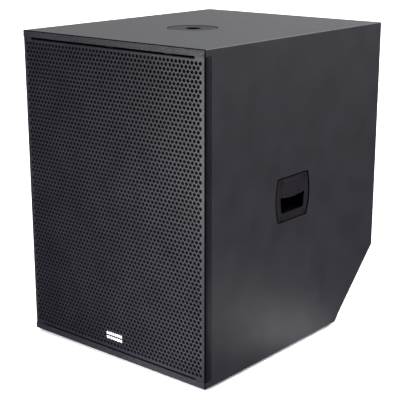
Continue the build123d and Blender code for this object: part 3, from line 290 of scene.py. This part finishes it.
def cloth_material(name, colour, threads, sheen=0.1):
    """Woven cloth under a coating: two crossed sets of threads."""
    s = Shader(name)
    warp = s.add("ShaderNodeTexWave", {"bands_direction": "X"}, Vector=s.place, Scale=threads, Distortion=0.6)
    weft = s.add("ShaderNodeTexWave", {"bands_direction": "Z"}, Vector=s.place, Scale=threads, Distortion=0.6)
    weave = s.math("MULTIPLY", warp.outputs["Fac"], weft.outputs["Fac"])
    blotch = s.noise(35.0, 4.0)
    base = s.mix(s.remap(blotch, 0.3, 0.7, 0.0, 1.0), tuple(c * 0.7 for c in colour), colour)
    s.finish("Base Color", s.mix(weave, tuple(c * 0.6 for c in colour), base))
    s.finish("Roughness", s.remap(blotch, 0.3, 0.7, 0.6, 0.8))
    s.finish("Sheen Weight", sheen)
    s.finish("Normal", s.bump(weave, 0.2 * MM, 0.6))
    return s.material


def coil_material(name, colour):
    """Enamelled wire wound round the woofer's axis: fine rings along Y."""
    s = Shader(name)
    turns = s.add("ShaderNodeTexWave", {"bands_direction": "Y"}, Vector=s.place, Scale=500.0, Distortion=0.0)
    tint = s.noise(80.0, 3.0)
    base = s.mix(s.remap(tint, 0.3, 0.7, 0.0, 1.0), tuple(c * 0.7 for c in colour), colour)
    s.finish("Base Color", base)
    s.finish("Metallic", 0.85)
    s.finish("Roughness", s.remap(tint, 0.3, 0.7, 0.28, 0.42))
    s.finish("Normal", s.bump(turns.outputs["Fac"], 0.2 * MM, 0.8))
    return s.material


PAINT = (0.0205, 0.0190, 0.0255)
MATERIALS = {
    "paint": paint_material(
        "cabinet_paint", PAINT, 900.0, 0.46, 0.12 * MM, open_sky=(0.3, 0.85), speckle=0.35
    ),
    "grille_steel": paint_material(
        "grille_powder_coat", (0.0114, 0.0098, 0.0152), 1600.0, 0.35, 0.04 * MM, hollow=1.5 * MM
    ),
    # painted shade: a hollow of 45 mm darkens the pole socket's dish floor and wall
    "socket_metal": paint_material(
        "pole_socket_powder_coat", (0.0115, 0.0105, 0.0135), 1400.0, 0.5, 0.05 * MM,
        shine=0.2, hollow=45.0 * MM, open_sky=(0.7, 0.92),
    ),
    "plate_steel": paint_material(
        "terminal_plate_powder_coat", (0.024, 0.024, 0.026), 1400.0, 0.42, 0.05 * MM
    ),
    "cast_basket": paint_material("basket_powder_coat", (0.03, 0.03, 0.032), 1100.0, 0.5, 0.10 * MM),
    "plywood": plywood_material("birch_plywood", (0.60, 0.44, 0.27)),
    "lining": wadding_material("polyester_wadding", (0.32, 0.32, 0.33)),
    "foam": foam_material("black_foam", (0.0030, 0.0026, 0.0034), 700.0),
    "badge_black": plain_material("badge_gloss_black", (0.02, 0.02, 0.022), 0.25, grain=300.0, depth=0.01),
    "badge_white": plain_material(
        "badge_white", (0.85, 0.85, 0.86), 0.4, grain=500.0, depth=0.02, variation=0.06
    ),
    "spring_steel": plain_material(
        "blued_spring_steel", (0.10, 0.11, 0.13), 0.42, 1.0, 500.0, 0.02, 0.35, (1, 0.1, 1)
    ),
    "black_screw": plain_material("black_oxide", (0.014, 0.014, 0.015), 0.45, 0.3, 900.0, 0.03),
    "zinc_steel": plain_material("zinc_plated_steel", (0.62, 0.62, 0.58), 0.34, 1.0, 800.0, 0.02, 0.22),
    "ferrite": plain_material("sintered_ferrite", (0.10, 0.10, 0.105), 0.62, 0.1, 1200.0, 0.08, 0.3),
    "former": cloth_material("glass_fibre_former", (0.55, 0.45, 0.25), 420.0),
    "copper": coil_material("enamelled_copper", (0.72, 0.38, 0.22)),
    "paper_cone": plain_material("coated_paper_pulp", (0.05, 0.05, 0.052), 0.72, 0.0, 420.0, 0.35, 0.4),
    "treated_cloth": cloth_material("coated_surround_cloth", (0.045, 0.045, 0.047), 300.0),
    "spider_cloth": cloth_material("resin_cotton", (0.42, 0.31, 0.15), 260.0),
    "black_plastic": plain_material("moulded_black_plastic", (0.03, 0.03, 0.031), 0.48, 0.0, 1100.0, 0.05),
    "red_plastic": plain_material("moulded_red_plastic", (0.55, 0.03, 0.03), 0.3, 0.0, 600.0, 0.02, 0.15),
    # painted shade: a hollow of 80 mm darkens the inside of the handle cup
    "handle_plastic": paint_material(
        "handle_textured_plastic", (0.0125, 0.0095, 0.0150), 1500.0, 0.46, 0.06 * MM,
        shine=0.25, hollow=80.0 * MM, open_sky=(0.7, 0.92),
    ),
    "brass_contact": plain_material("plain_brass", (0.75, 0.60, 0.30), 0.3, 1.0, 700.0, 0.02, 0.3),
    "red_cable": plain_material("red_insulation", (0.42, 0.025, 0.025), 0.45, 0.0, 500.0, 0.04, 0.2),
    "black_cable": plain_material("black_insulation", (0.02, 0.02, 0.02), 0.45, 0.0, 500.0, 0.04, 0.2),
    "rubber": plain_material("foot_rubber", (0.022, 0.022, 0.022), 0.75, 0.0, 1500.0, 0.08, 0.25),
}

# the baffle is plywood too, but it is painted like the outside
LOOK_OF = dict(SLOT_OF, baffle="paint")
for node_name, node_object in NODES.items():
    node_object.data.materials.clear()
    node_object.data.materials.append(MATERIALS[LOOK_OF[node_name]])

# ---------------------------------------------------------------- mesh helpers


def new_piece(name, points, faces, slot, body=None, replaces=()):
    """A mesh object from points and faces, with its finish and the CAD body it rides on."""
    mesh = bpy.data.meshes.new(name)
    mesh.from_pydata([tuple(p) for p in points], [], faces)
    mesh.update()
    piece = bpy.data.objects.new(name, mesh)
    bpy.context.scene.collection.objects.link(piece)
    mesh.materials.append(MATERIALS[slot])
    if body:
        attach(piece, body)
    if replaces:
        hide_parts(*replaces)
    return piece


def smooth(piece, angle=30.0):
    """Smooth shading, with edges sharper than angle kept crisp."""
    piece.data.polygons.foreach_set("use_smooth", [True] * len(piece.data.polygons))
    piece.data.set_sharp_from_angle(angle=math.radians(angle))


def apply_modifiers(piece):
    """Turns the piece's modifiers into plain mesh."""
    graph = bpy.context.evaluated_depsgraph_get()
    mesh = bpy.data.meshes.new_from_object(piece.evaluated_get(graph))
    old = piece.data
    piece.modifiers.clear()
    piece.data = mesh
    bpy.data.meshes.remove(old)


class Welded:
    """Points and faces, where points at the same place are one point."""

    def __init__(self):
        self.points = []
        self.faces = []
        self.index = {}

    def point(self, x, y, z):
        key = (round(x * 1e6), round(y * 1e6), round(z * 1e6))
        if key not in self.index:
            self.index[key] = len(self.points)
            self.points.append((x, y, z))
        return self.index[key]

    def face(self, *corners):
        """A face through (x, y, z) corners; corners that fall together are dropped."""
        ring = []
        for corner in corners:
            i = self.point(*corner)
            if i not in ring:
                ring.append(i)
        if len(ring) > 2:
            self.faces.append(ring)


# ---------------------------------------------------------------- grille

SHEET = 1.5 * MM
HOLE_PITCH = 11.0 * MM
ROW_PITCH = HOLE_PITCH * math.sqrt(3) / 2
HOLE_ROWS = 73
HOLES_IN_ROW = 49
HOLE_RADIUS = 4.4 * MM
EDGE_PARTS = 3  # parts of each side of the hexagon round a hole
HOLE_SEGMENTS = 6 * EDGE_PARTS
BEND = 2.5 * MM
BEND_STEPS = 6
SLOT_END = 20.0 * MM  # from the end of the slot to the side of the hole field
SLOT = 2.5 * MM  # from the sheet's flat top edge down to the folded edge
RETURN_DEPTH = 14.0 * MM
SAME_PLACE = 1e-7


def bend_path(radius, straight):
    """Outward and backward steps of a sheet that turns from flat to straight back."""
    path = []
    for step in range(BEND_STEPS + 1):
        angle = math.pi / 2 * step / BEND_STEPS
        path.append((radius * math.sin(angle), radius * (1 - math.cos(angle))))
    path.append((radius, straight))
    return path


def parts_between(a, b):
    """The ends and the inner points of a line cut into equal parts."""
    (ax, az), (bx, bz) = a, b
    return [(ax + (bx - ax) * t / EDGE_PARTS, az + (bz - az) * t / EDGE_PARTS) for t in range(EDGE_PARTS + 1)]


def perforated_sheet():
    """The folded grille: a field of hexagonal cells with round holes, and folded sides, top and bottom."""
    low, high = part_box("grille")
    face_y = low.y
    middle = (low.z + high.z) / 2
    half_width = high.x
    half_height = (high.z - low.z) / 2
    mesh = Welded()
    corner_radius = HOLE_PITCH / math.sqrt(3)
    angles = [math.radians(30 + 360 / HOLE_SEGMENTS * k) for k in range(HOLE_SEGMENTS)]
    circle = [(HOLE_RADIUS * math.cos(a), HOLE_RADIUS * math.sin(a)) for a in angles]
    corners = [(corner_radius * math.cos(a), corner_radius * math.sin(a)) for a in angles[::EDGE_PARTS]]
    hexagon = []
    for k in range(6):
        hexagon += parts_between(corners[k], corners[(k + 1) % 6])[:-1]

    def centres(row):
        count = HOLES_IN_ROW - row % 2
        z = (row - (HOLE_ROWS - 1) / 2) * ROW_PITCH
        return [((i - (count - 1) / 2) * HOLE_PITCH, z) for i in range(count)]

    for row in range(HOLE_ROWS):
        for x, z in centres(row):
            inner = [(x + dx, face_y, middle + z + dz) for dx, dz in circle]
            outer = [(x + dx, face_y, middle + z + dz) for dx, dz in hexagon]
            for k in range(HOLE_SEGMENTS):
                n = (k + 1) % HOLE_SEGMENTS
                mesh.face(inner[k], outer[k], outer[n], inner[n])

    # The hexagons' outline on the right and along the top; the left and the bottom mirror them.
    lowest = 5 * EDGE_PARTS
    right = []
    for row in range(HOLE_ROWS):
        x, z = centres(row)[-1]
        # from the lowest corner of this row's flat side to its highest one, then up to the next row
        side = [(x + dx, z + dz) for dx, dz in hexagon[lowest:] + hexagon[:1]]
        right += [p for p in side if not right or p[1] > right[-1][1] + SAME_PLACE]
        if row + 1 < HOLE_ROWS:
            next_x, next_z = centres(row + 1)[-1]
            next_low = (next_x + hexagon[lowest][0], next_z + hexagon[lowest][1])
            right += parts_between(right[-1], next_low)[1:-1]
    top = []
    for x, z in centres(HOLE_ROWS - 1):
        arch = [(x + dx, z + dz) for dx, dz in hexagon[2 * EDGE_PARTS :: -1]]
        top += arch if not top else arch[1:]

    flat_x = half_width - BEND
    flat_z = half_height - SLOT - BEND
    back_y = high.y
    corner_x = HOLES_IN_ROW / 2 * HOLE_PITCH
    slot_x = min((x for x, z in top if x > 0), key=lambda x: abs(x - (corner_x - SLOT_END)))

    def panel(mirror_x, mirror_z, a, b, c, d):
        """A quad of (x, y, z) corners, mirrored as asked, with its front kept outside."""
        ring = [(p[0] * mirror_x, p[1], middle + p[2] * mirror_z) for p in (a, b, c, d)]
        mesh.face(*(ring if mirror_x * mirror_z > 0 else reversed(ring)))

    side_path = bend_path(BEND, back_y - face_y)
    fold_path = bend_path(BEND, RETURN_DEPTH)
    levels = [z for x, z in right] + [flat_z, half_height]
    for mirror_x in (1, -1):
        for (ax, az), (bx, bz) in zip(right, right[1:]):
            panel(mirror_x, 1, (ax, face_y, az), (flat_x, face_y, az), (flat_x, face_y, bz), (bx, face_y, bz))
        for mirror_z in (1, -1):
            edge_z = right[-1][1]
            panel(
                mirror_x, mirror_z, (corner_x, face_y, edge_z), (flat_x, face_y, edge_z),
                (flat_x, face_y, flat_z), (corner_x, face_y, flat_z),
            )
            panel(
                mirror_x, mirror_z, (corner_x, face_y, flat_z), (flat_x, face_y, flat_z),
                (flat_x, face_y, half_height), (corner_x, face_y, half_height),
            )
        heights = sorted(set([round(z, 9) for z in levels] + [round(-z, 9) for z in levels]))
        for az, bz in zip(heights, heights[1:]):
            for (out_a, back_a), (out_b, back_b) in zip(side_path, side_path[1:]):
                panel(
                    mirror_x, 1, (flat_x + out_a, face_y + back_a, az), (flat_x + out_b, face_y + back_b, az),
                    (flat_x + out_b, face_y + back_b, bz), (flat_x + out_a, face_y + back_a, bz),
                )
    for mirror_z in (1, -1):
        for (ax, az), (bx, bz) in zip(top, top[1:]):
            panel(1, mirror_z, (ax, face_y, az), (bx, face_y, bz), (bx, face_y, flat_z), (ax, face_y, flat_z))
            if abs(ax + bx) / 2 > slot_x:
                panel(
                    1, mirror_z, (ax, face_y, flat_z), (bx, face_y, flat_z),
                    (bx, face_y, half_height), (ax, face_y, half_height),
                )
                continue
            for (up_a, back_a), (up_b, back_b) in zip(fold_path, fold_path[1:]):
                panel(
                    1, mirror_z, (ax, face_y + back_a, flat_z + up_a), (bx, face_y + back_a, flat_z + up_a),
                    (bx, face_y + back_b, flat_z + up_b), (ax, face_y + back_b, flat_z + up_b),
                )
    piece = new_piece("perforated_grille", mesh.points, mesh.faces, "grille_steel")
    thickness = piece.modifiers.new("thickness", "SOLIDIFY")
    thickness.thickness = SHEET
    thickness.offset = -1.0
    apply_modifiers(piece)
    smooth(piece, 25.0)
    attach(piece, "grille_unit")
    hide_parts("grille")
    return piece


perforated_sheet()

# ---------------------------------------------------------------- foam, wadding and gaskets


def soft_copy(name, node, body, voxel, relax, lumps, lump_size, dents=None):
    """The soft form of a CAD slab: eased edges, uneven faces and, if asked, staple dents.

    dents is (axis, wall side, pitch, depth, radius): the face away from the wall is drawn towards it.
    """
    low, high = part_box(node)
    piece = bpy.data.objects.new(name, NODES[node].data.copy())
    bpy.context.scene.collection.objects.link(piece)
    skin = piece.modifiers.new("skin", "REMESH")
    skin.mode = "VOXEL"
    skin.voxel_size = voxel
    ease = piece.modifiers.new("ease", "SMOOTH")
    ease.factor = 0.5
    ease.iterations = relax
    apply_modifiers(piece)
    mesh = piece.data
    places = np.array([v.co for v in mesh.vertices], float)
    normals = np.array([v.normal for v in mesh.vertices], float)
    wave = np.array([noise.noise(Vector(place) / lump_size) for place in places])
    places -= normals * (lumps * (0.5 + 0.5 * wave))[:, None]
    if dents:
        axis, side, pitch, depth, radius = dents
        wall = (high if side > 0 else low)[axis]
        across = [k for k in range(3) if k != axis]
        off = np.zeros(len(places))
        for k in across:
            span = high[k] - low[k]
            count = max(1, round(span / pitch))
            from_dent = (places[:, k] - low[k]) / span * count % 1.0 - 0.5
            off += (from_dent * span / count) ** 2
        share = np.abs(places[:, axis] - wall) / (high[axis] - low[axis])
        places[:, axis] += side * depth * share * np.exp(-off / radius**2)
    places = np.clip(places, np.array(low), np.array(high))
    mesh.vertices.foreach_set("co", places.ravel().astype(np.float32))
    mesh.update()
    smooth(piece, 60.0)
    mesh.materials.clear()
    mesh.materials.append(MATERIALS[SLOT_OF[node]])
    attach(piece, body)
    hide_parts(node)
    return piece


STAPLE_PITCH = 150.0 * MM
STAPLE_DENT = 9.0 * MM
STAPLE_REACH = 26.0 * MM

soft_copy("grille_foam_pad", "grille_foam", "grille_unit", 4.0 * MM, 2, 0.5 * MM, 40.0 * MM)
for lining, lining_axis, wall_side in (("right", 0, 1), ("left", 0, -1), ("back", 1, 1), ("top", 2, 1)):
    stapled = (lining_axis, wall_side, STAPLE_PITCH, STAPLE_DENT, STAPLE_REACH)
    soft_copy(f"wadding_{lining}", f"lining_{lining}", "cabinet", 6.0 * MM, 5, 3.0 * MM, 35.0 * MM, stapled)
for handle_side in ("right", "left"):
    soft_copy(
        f"handle_foam_ring_{handle_side}", f"handle_gasket_{handle_side}", "cabinet",
        0.5 * MM, 2, 0.12 * MM, 9.0 * MM,
    )
soft_copy("terminal_foam_ring", "terminal_plate_gasket", "cabinet", 0.75 * MM, 2, 0.2 * MM, 9.0 * MM)


def revolved_ring(name, section, centre_x, centre_z, slot, segments=180, swell=None):
    """A closed section of (radius, y) points turned round the woofer's axis. swell(angle) adds to radii."""
    points = []
    for k in range(segments):
        angle = 2 * math.pi * k / segments
        extra = swell(angle) if swell else 0.0
        for radius, y in section:
            r = radius + extra
            points.append((centre_x + r * math.cos(angle), y, centre_z + r * math.sin(angle)))
    n = len(section)
    faces = [
        (k * n + i, k * n + (i + 1) % n, (k + 1) % segments * n + (i + 1) % n, (k + 1) % segments * n + i)
        for k in range(segments)
        for i in range(n)
    ]
    piece = new_piece(name, points, faces, slot)
    shape = bmesh.new()
    shape.from_mesh(piece.data)
    bmesh.ops.recalc_face_normals(shape, faces=shape.faces)
    shape.to_mesh(piece.data)
    shape.free()
    return piece


def ring_middle(node):
    """Centre x, centre z and outer radius of a CAD ring round the woofer's axis."""
    low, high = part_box(node)
    return (low.x + high.x) / 2, (low.z + high.z) / 2, (high.x - low.x) / 2


GASKET_WIDTH = 19.0 * MM
GASKET_BULGE = 0.8 * MM
GASKET_PINCH = 0.35 * MM
WOOFER_BOLTS = 8


def foam_ring():
    """The gasket under the woofer's frame, squeezed out a little between the bolts."""
    low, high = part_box("woofer_gasket")
    centre_x, centre_z, outer = ring_middle("woofer_gasket")
    inner = outer - GASKET_WIDTH
    half = (high.y - low.y) / 2
    middle = (low.y + high.y) / 2
    steps = 8
    turns = [math.pi * (k / steps - 0.5) for k in range(steps + 1)]
    section = [(outer - GASKET_BULGE * (1 - math.cos(a)), middle + half * math.sin(a)) for a in turns]
    section += [(inner + GASKET_BULGE * (1 - math.cos(a)), middle - half * math.sin(a)) for a in turns]

    def squeezed(angle):
        return -GASKET_PINCH * (1 + math.cos(WOOFER_BOLTS * (angle - math.pi / WOOFER_BOLTS))) / 2

    slot = SLOT_OF["woofer_gasket"]
    piece = revolved_ring("woofer_foam_ring", section, centre_x, centre_z, slot, swell=squeezed)
    smooth(piece, 60.0)
    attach(piece, "cabinet")
    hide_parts("woofer_gasket")


foam_ring()

# ---------------------------------------------------------------- suspension and leads


def smoothstep(t):
    t = min(1.0, max(0.0, t))
    return t * t * (3 - 2 * t)


def bend_with_cone(piece):
    """Bakes the piece's placement into its mesh."""
    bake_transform(piece)


def suspension(name, node, lip_end, wave_end, inner, waves, height, thickness, ripple):
    """A corrugated cloth ring: a flat lip glued to the moving side, waves, and a lip on the fixed side."""
    centre_x, centre_z, outer = ring_middle(node)
    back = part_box(node)[1].y - thickness / 2
    steps = 16 * waves
    line = [(inner, back)]
    for k in range(steps + 1):
        t = k / steps
        rise = height * (1 - math.cos(2 * math.pi * waves * t)) / 2
        line.append((lip_end + (wave_end - lip_end) * t, back - rise))
    line.append((outer, back))
    front, rear = [], []
    for k, (radius, y) in enumerate(line):
        before, after = line[max(0, k - 1)], line[min(len(line) - 1, k + 1)]
        dr, dy = after[0] - before[0], after[1] - before[1]
        length = math.hypot(dr, dy)
        shift_r, shift_y = dy / length * thickness / 2, -dr / length * thickness / 2
        front.append((radius + shift_r, y + shift_y))
        rear.append((radius - shift_r, y - shift_y))
    piece = revolved_ring(name, front + rear[::-1], centre_x, centre_z, SLOT_OF[node], segments=240)
    for vertex in piece.data.vertices:
        away = Vector((vertex.co.x - centre_x, 0.0, vertex.co.z - centre_z))
        share = min(1.0, max(0.0, (away.length - lip_end) / (wave_end - lip_end)))
        sag = noise.noise(vertex.co / (14.0 * MM)) * ripple * math.sin(math.pi * share)
        vertex.co.y += sag
    smooth(piece, 60.0)
    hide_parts(node)
    bend_with_cone(piece)


suspension("surround_cloth", "surround", 182.0 * MM, 204.0 * MM, 174.0 * MM, 2, 6.0 * MM, 1.2 * MM, 0.15 * MM)
suspension("spider_corrugated", "spider", 56.0 * MM, 86.0 * MM, 50.3 * MM, 5, 3.0 * MM, 0.8 * MM, 0.1 * MM)

LEAD_STRANDS = 3
STRAND_RADIUS = 0.58 * MM
STRAND_ORBIT = 0.6 * MM
TWIST_PITCH = 7.0 * MM
HALF_STEPS = 45  # steps of a lead's way before and after its middle
STRAND_SIDES = 8


def hermite(a, b, leave, arrive, t):
    """A point on the smooth curve from a to b with the given directions at its ends."""
    return (
        a * (2 * t**3 - 3 * t**2 + 1) + leave * (t**3 - 2 * t**2 + t)
        + b * (3 * t**2 - 2 * t**3) + arrive * (t**3 - t**2)
    )


def twisted_leads():
    """Two flexible leads of three strands, from the terminal block to the back of the cone."""
    low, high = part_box("lead_wires")
    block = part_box("terminal_block")[0]
    start_x, start_z = 19.0 * MM, block.z + 16.0 * MM
    end_x, swing_x = 34.0 * MM, high.x - STRAND_RADIUS - STRAND_ORBIT
    points, faces, moved = [], [], []
    for side in (-1, 1):
        start = Vector((side * start_x, block.y, start_z))
        swing = Vector((side * swing_x, (low.y + high.y) / 2, start_z - 2.0 * MM))
        end = Vector((side * end_x, low.y + 1.5 * MM, low.z + 1.5 * MM))
        middle_way = (end - start) / 2
        first_way = Vector((0, -30.0 * MM, 0))
        last_way = Vector((0, -27.0 * MM, -36.0 * MM))
        way = [hermite(start, swing, first_way, middle_way, k / HALF_STEPS) for k in range(HALF_STEPS)]
        way += [hermite(swing, end, middle_way, last_way, k / HALF_STEPS) for k in range(HALF_STEPS + 1)]
        run = 0.0
        frames = []
        for k, place in enumerate(way):
            ahead = (way[min(k + 1, len(way) - 1)] - way[max(k - 1, 0)]).normalized()
            across = ahead.cross(Vector((0, 0, 1)) if abs(ahead.z) < 0.9 else Vector((1, 0, 0))).normalized()
            run += (place - way[max(k - 1, 0)]).length
            frames.append((place, across, ahead.cross(across), run))
        for strand in range(LEAD_STRANDS):
            first = len(points)
            for place, across, up, along in frames:
                turn_angle = 2 * math.pi * (along / TWIST_PITCH + strand / LEAD_STRANDS)
                core = place + (across * math.cos(turn_angle) + up * math.sin(turn_angle)) * STRAND_ORBIT
                for corner in range(STRAND_SIDES):
                    a = 2 * math.pi * corner / STRAND_SIDES
                    points.append(core + (across * math.cos(a) + up * math.sin(a)) * STRAND_RADIUS)
                    moved.append(smoothstep(along / run))
            rings = len(frames)
            for k in range(rings - 1):
                for corner in range(STRAND_SIDES):
                    n = (corner + 1) % STRAND_SIDES
                    a, b = first + k * STRAND_SIDES, first + (k + 1) * STRAND_SIDES
                    faces.append((a + corner, a + n, b + n, b + corner))
            faces.append(tuple(first + corner for corner in range(STRAND_SIDES))[::-1])
            end_ring = first + (rings - 1) * STRAND_SIDES
            faces.append(tuple(end_ring + corner for corner in range(STRAND_SIDES)))
    piece = new_piece("twisted_leads", points, faces, SLOT_OF["lead_wires"])
    smooth(piece, 60.0)
    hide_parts("lead_wires")
    bend_with_cone(piece)


twisted_leads()

# ---------------------------------------------------------------- stage, camera and light

CENTRE = (CAD_BOX[0] + CAD_BOX[1]) / 2
CAMERA_PLACE = CENTRE + Vector((1.6213, -1.9396, 0.6508))
CAMERA_AZIMUTH = 40.32  # degrees
CAMERA_ELEVATION = 15.67
CAMERA_ROLL = -0.066
CAMERA_LENS = 93.93  # millimetres

camera_data = bpy.data.cameras.new("camera")
camera = bpy.data.objects.new("camera", camera_data)
bpy.context.scene.collection.objects.link(camera)
camera_data.lens = CAMERA_LENS
camera.location = CAMERA_PLACE
turn = Euler((math.radians(90 - CAMERA_ELEVATION), 0, math.radians(CAMERA_AZIMUTH)), "XYZ").to_quaternion()
roll = Euler((0, 0, math.radians(CAMERA_ROLL)), "XYZ").to_quaternion()
camera.rotation_mode = "QUATERNION"
camera.rotation_quaternion = turn @ roll
bpy.context.scene.camera = camera


FLOOR_HALF = 40.0
FLOOR_LIFT = 0.1  # a little light of the floor's own, seen only by the camera
BACKDROP = 1.1  # brightness of the white that the camera sees behind the object


def floor_piece(glows):
    """A large pale floor. It sends the object only a few soft bright patches: (x, y, radius, strength)."""
    corners = [(x * FLOOR_HALF, y * FLOOR_HALF, 0) for x, y in ((-1, -1), (1, -1), (1, 1), (-1, 1))]
    mesh = bpy.data.meshes.new("floor")
    mesh.from_pydata(corners, [], [(0, 1, 2, 3)])
    floor = bpy.data.objects.new("floor", mesh)
    bpy.context.scene.collection.objects.link(floor)
    s = Shader("floor_pale")
    tone = s.noise(0.8, 2.0)
    s.finish("Base Color", s.mix(s.remap(tone, 0.3, 0.7, 0.0, 1.0), (0.88, 0.88, 0.88), (0.90, 0.90, 0.90)))
    s.finish("Roughness", 0.8)
    s.finish("Specular IOR Level", 0.1)
    s.finish("Emission Color", (1, 1, 1, 1))
    s.finish("Emission Strength", FLOOR_LIFT)
    total = 0.0
    for x, y, radius, strength in glows:
        away = s.add("ShaderNodeVectorMath", {"operation": "DISTANCE"})
        s.set(away, "0", s.place)
        s.set(away, "1", (x, y, 0.0))
        fall = s.math("POWER", s.math("DIVIDE", away.outputs["Value"], radius), 2.0)
        left = s.math("EXPONENT", s.math("MULTIPLY", fall, -1.0))
        total = s.math("ADD", total, s.math("MULTIPLY", left, strength))
    glow = s.add("ShaderNodeEmission", Strength=total)
    path = s.add("ShaderNodeLightPath")
    mix = s.add("ShaderNodeMixShader")
    s.set(mix, "0", path.outputs["Is Camera Ray"])
    s.set(mix, "1", glow.outputs[0])
    s.set(mix, "2", s.body.outputs[0])
    s.set(s.tree.nodes["Material Output"], "Surface", mix.outputs[0])
    mesh.materials.append(s.material)


def studio_world(lobes):
    """White to the camera. To all else it is soft bright zones: (direction, sharpness, strength)."""
    world = bpy.data.worlds.new("studio")
    bpy.context.scene.world = world
    world.use_nodes = True
    tree = world.node_tree
    tree.nodes.clear()

    def math_node(operation, first, second=0.0):
        node = tree.nodes.new("ShaderNodeMath")
        node.operation = operation
        for socket, value in zip(node.inputs, (first, second)):
            if isinstance(value, bpy.types.NodeSocket):
                tree.links.new(value, socket)
            else:
                socket.default_value = value
        return node.outputs[0]

    towards = tree.nodes.new("ShaderNodeTexCoord").outputs["Generated"]
    total = 0.0
    for direction, sharpness, strength in lobes:
        dot = tree.nodes.new("ShaderNodeVectorMath")
        dot.operation = "DOT_PRODUCT"
        tree.links.new(towards, dot.inputs[0])
        dot.inputs[1].default_value = Vector(direction).normalized()
        fall = math_node("MULTIPLY", math_node("SUBTRACT", dot.outputs["Value"], 1.0), sharpness)
        total = math_node("ADD", total, math_node("MULTIPLY", math_node("EXPONENT", fall), strength))
    room = tree.nodes.new("ShaderNodeBackground")
    tree.links.new(total, room.inputs["Strength"])
    seen = tree.nodes.new("ShaderNodeBackground")
    seen.inputs["Color"].default_value = (1, 1, 1, 1)
    seen.inputs["Strength"].default_value = BACKDROP
    path = tree.nodes.new("ShaderNodeLightPath")
    mix = tree.nodes.new("ShaderNodeMixShader")
    tree.links.new(path.outputs["Is Camera Ray"], mix.inputs[0])
    tree.links.new(room.outputs[0], mix.inputs[1])
    tree.links.new(seen.outputs[0], mix.inputs[2])
    output = tree.nodes.new("ShaderNodeOutputWorld")
    tree.links.new(mix.outputs[0], output.inputs["Surface"])


def area_light(name, place, target, size, power):
    """A soft box that lights the object and isn't itself in the picture."""
    data = bpy.data.lights.new(name, "AREA")
    data.shape = "RECTANGLE"
    data.size, data.size_y = size
    data.energy = power
    light = bpy.data.objects.new(name, data)
    bpy.context.scene.collection.objects.link(light)
    light.location = place
    light.rotation_mode = "QUATERNION"
    light.rotation_quaternion = (Vector(target) - Vector(place)).to_track_quat("-Z", "Y")
    light.visible_camera = False
    return light


LOBES = [
    ((0.0, 0.0, 1.0), 0.0, 0.15),  # even room light
    ((-0.62, 0.73, 0.26), 12.0, 0.06),  # foot of the backdrop
    ((-0.62, 0.73, 0.5), 4.0, 0.12),  # backdrop that the top mirrors
    ((0.62, 0.73, 0.1), 8.0, 1.0),  # wall behind to the right
    ((0.3, 0.3, 0.9), 6.0, 11.2),  # overhead bank
]
GLOWS = [
    (0.42, 0.068, 0.14, 1.75),  # beside the right panel
    (-0.62, 0.15, 0.3, 2.2),  # beside the left panel
    (0.12, -0.51, 0.13, 1.6),  # in front of the grille
    (-0.1, -0.8, 0.22, 1.3),  # further out in front of it
    (-2.17, -3.01, 1.4, 0.5),  # far off on the floor, mirrored by the grille
]
floor_piece(GLOWS)
studio_world(LOBES)
area_light("strip_low", (0.25, -0.95, 0.3), (0.2, 0.0, 0.25), (0.3, 0.5), 10.6)
area_light("strip_left", (-0.15, -1.1, 0.6), (0.0, 0.0, 0.5), (0.3, 1.0), 7.5)
bpy.context.scene.view_settings.view_transform = "Standard"
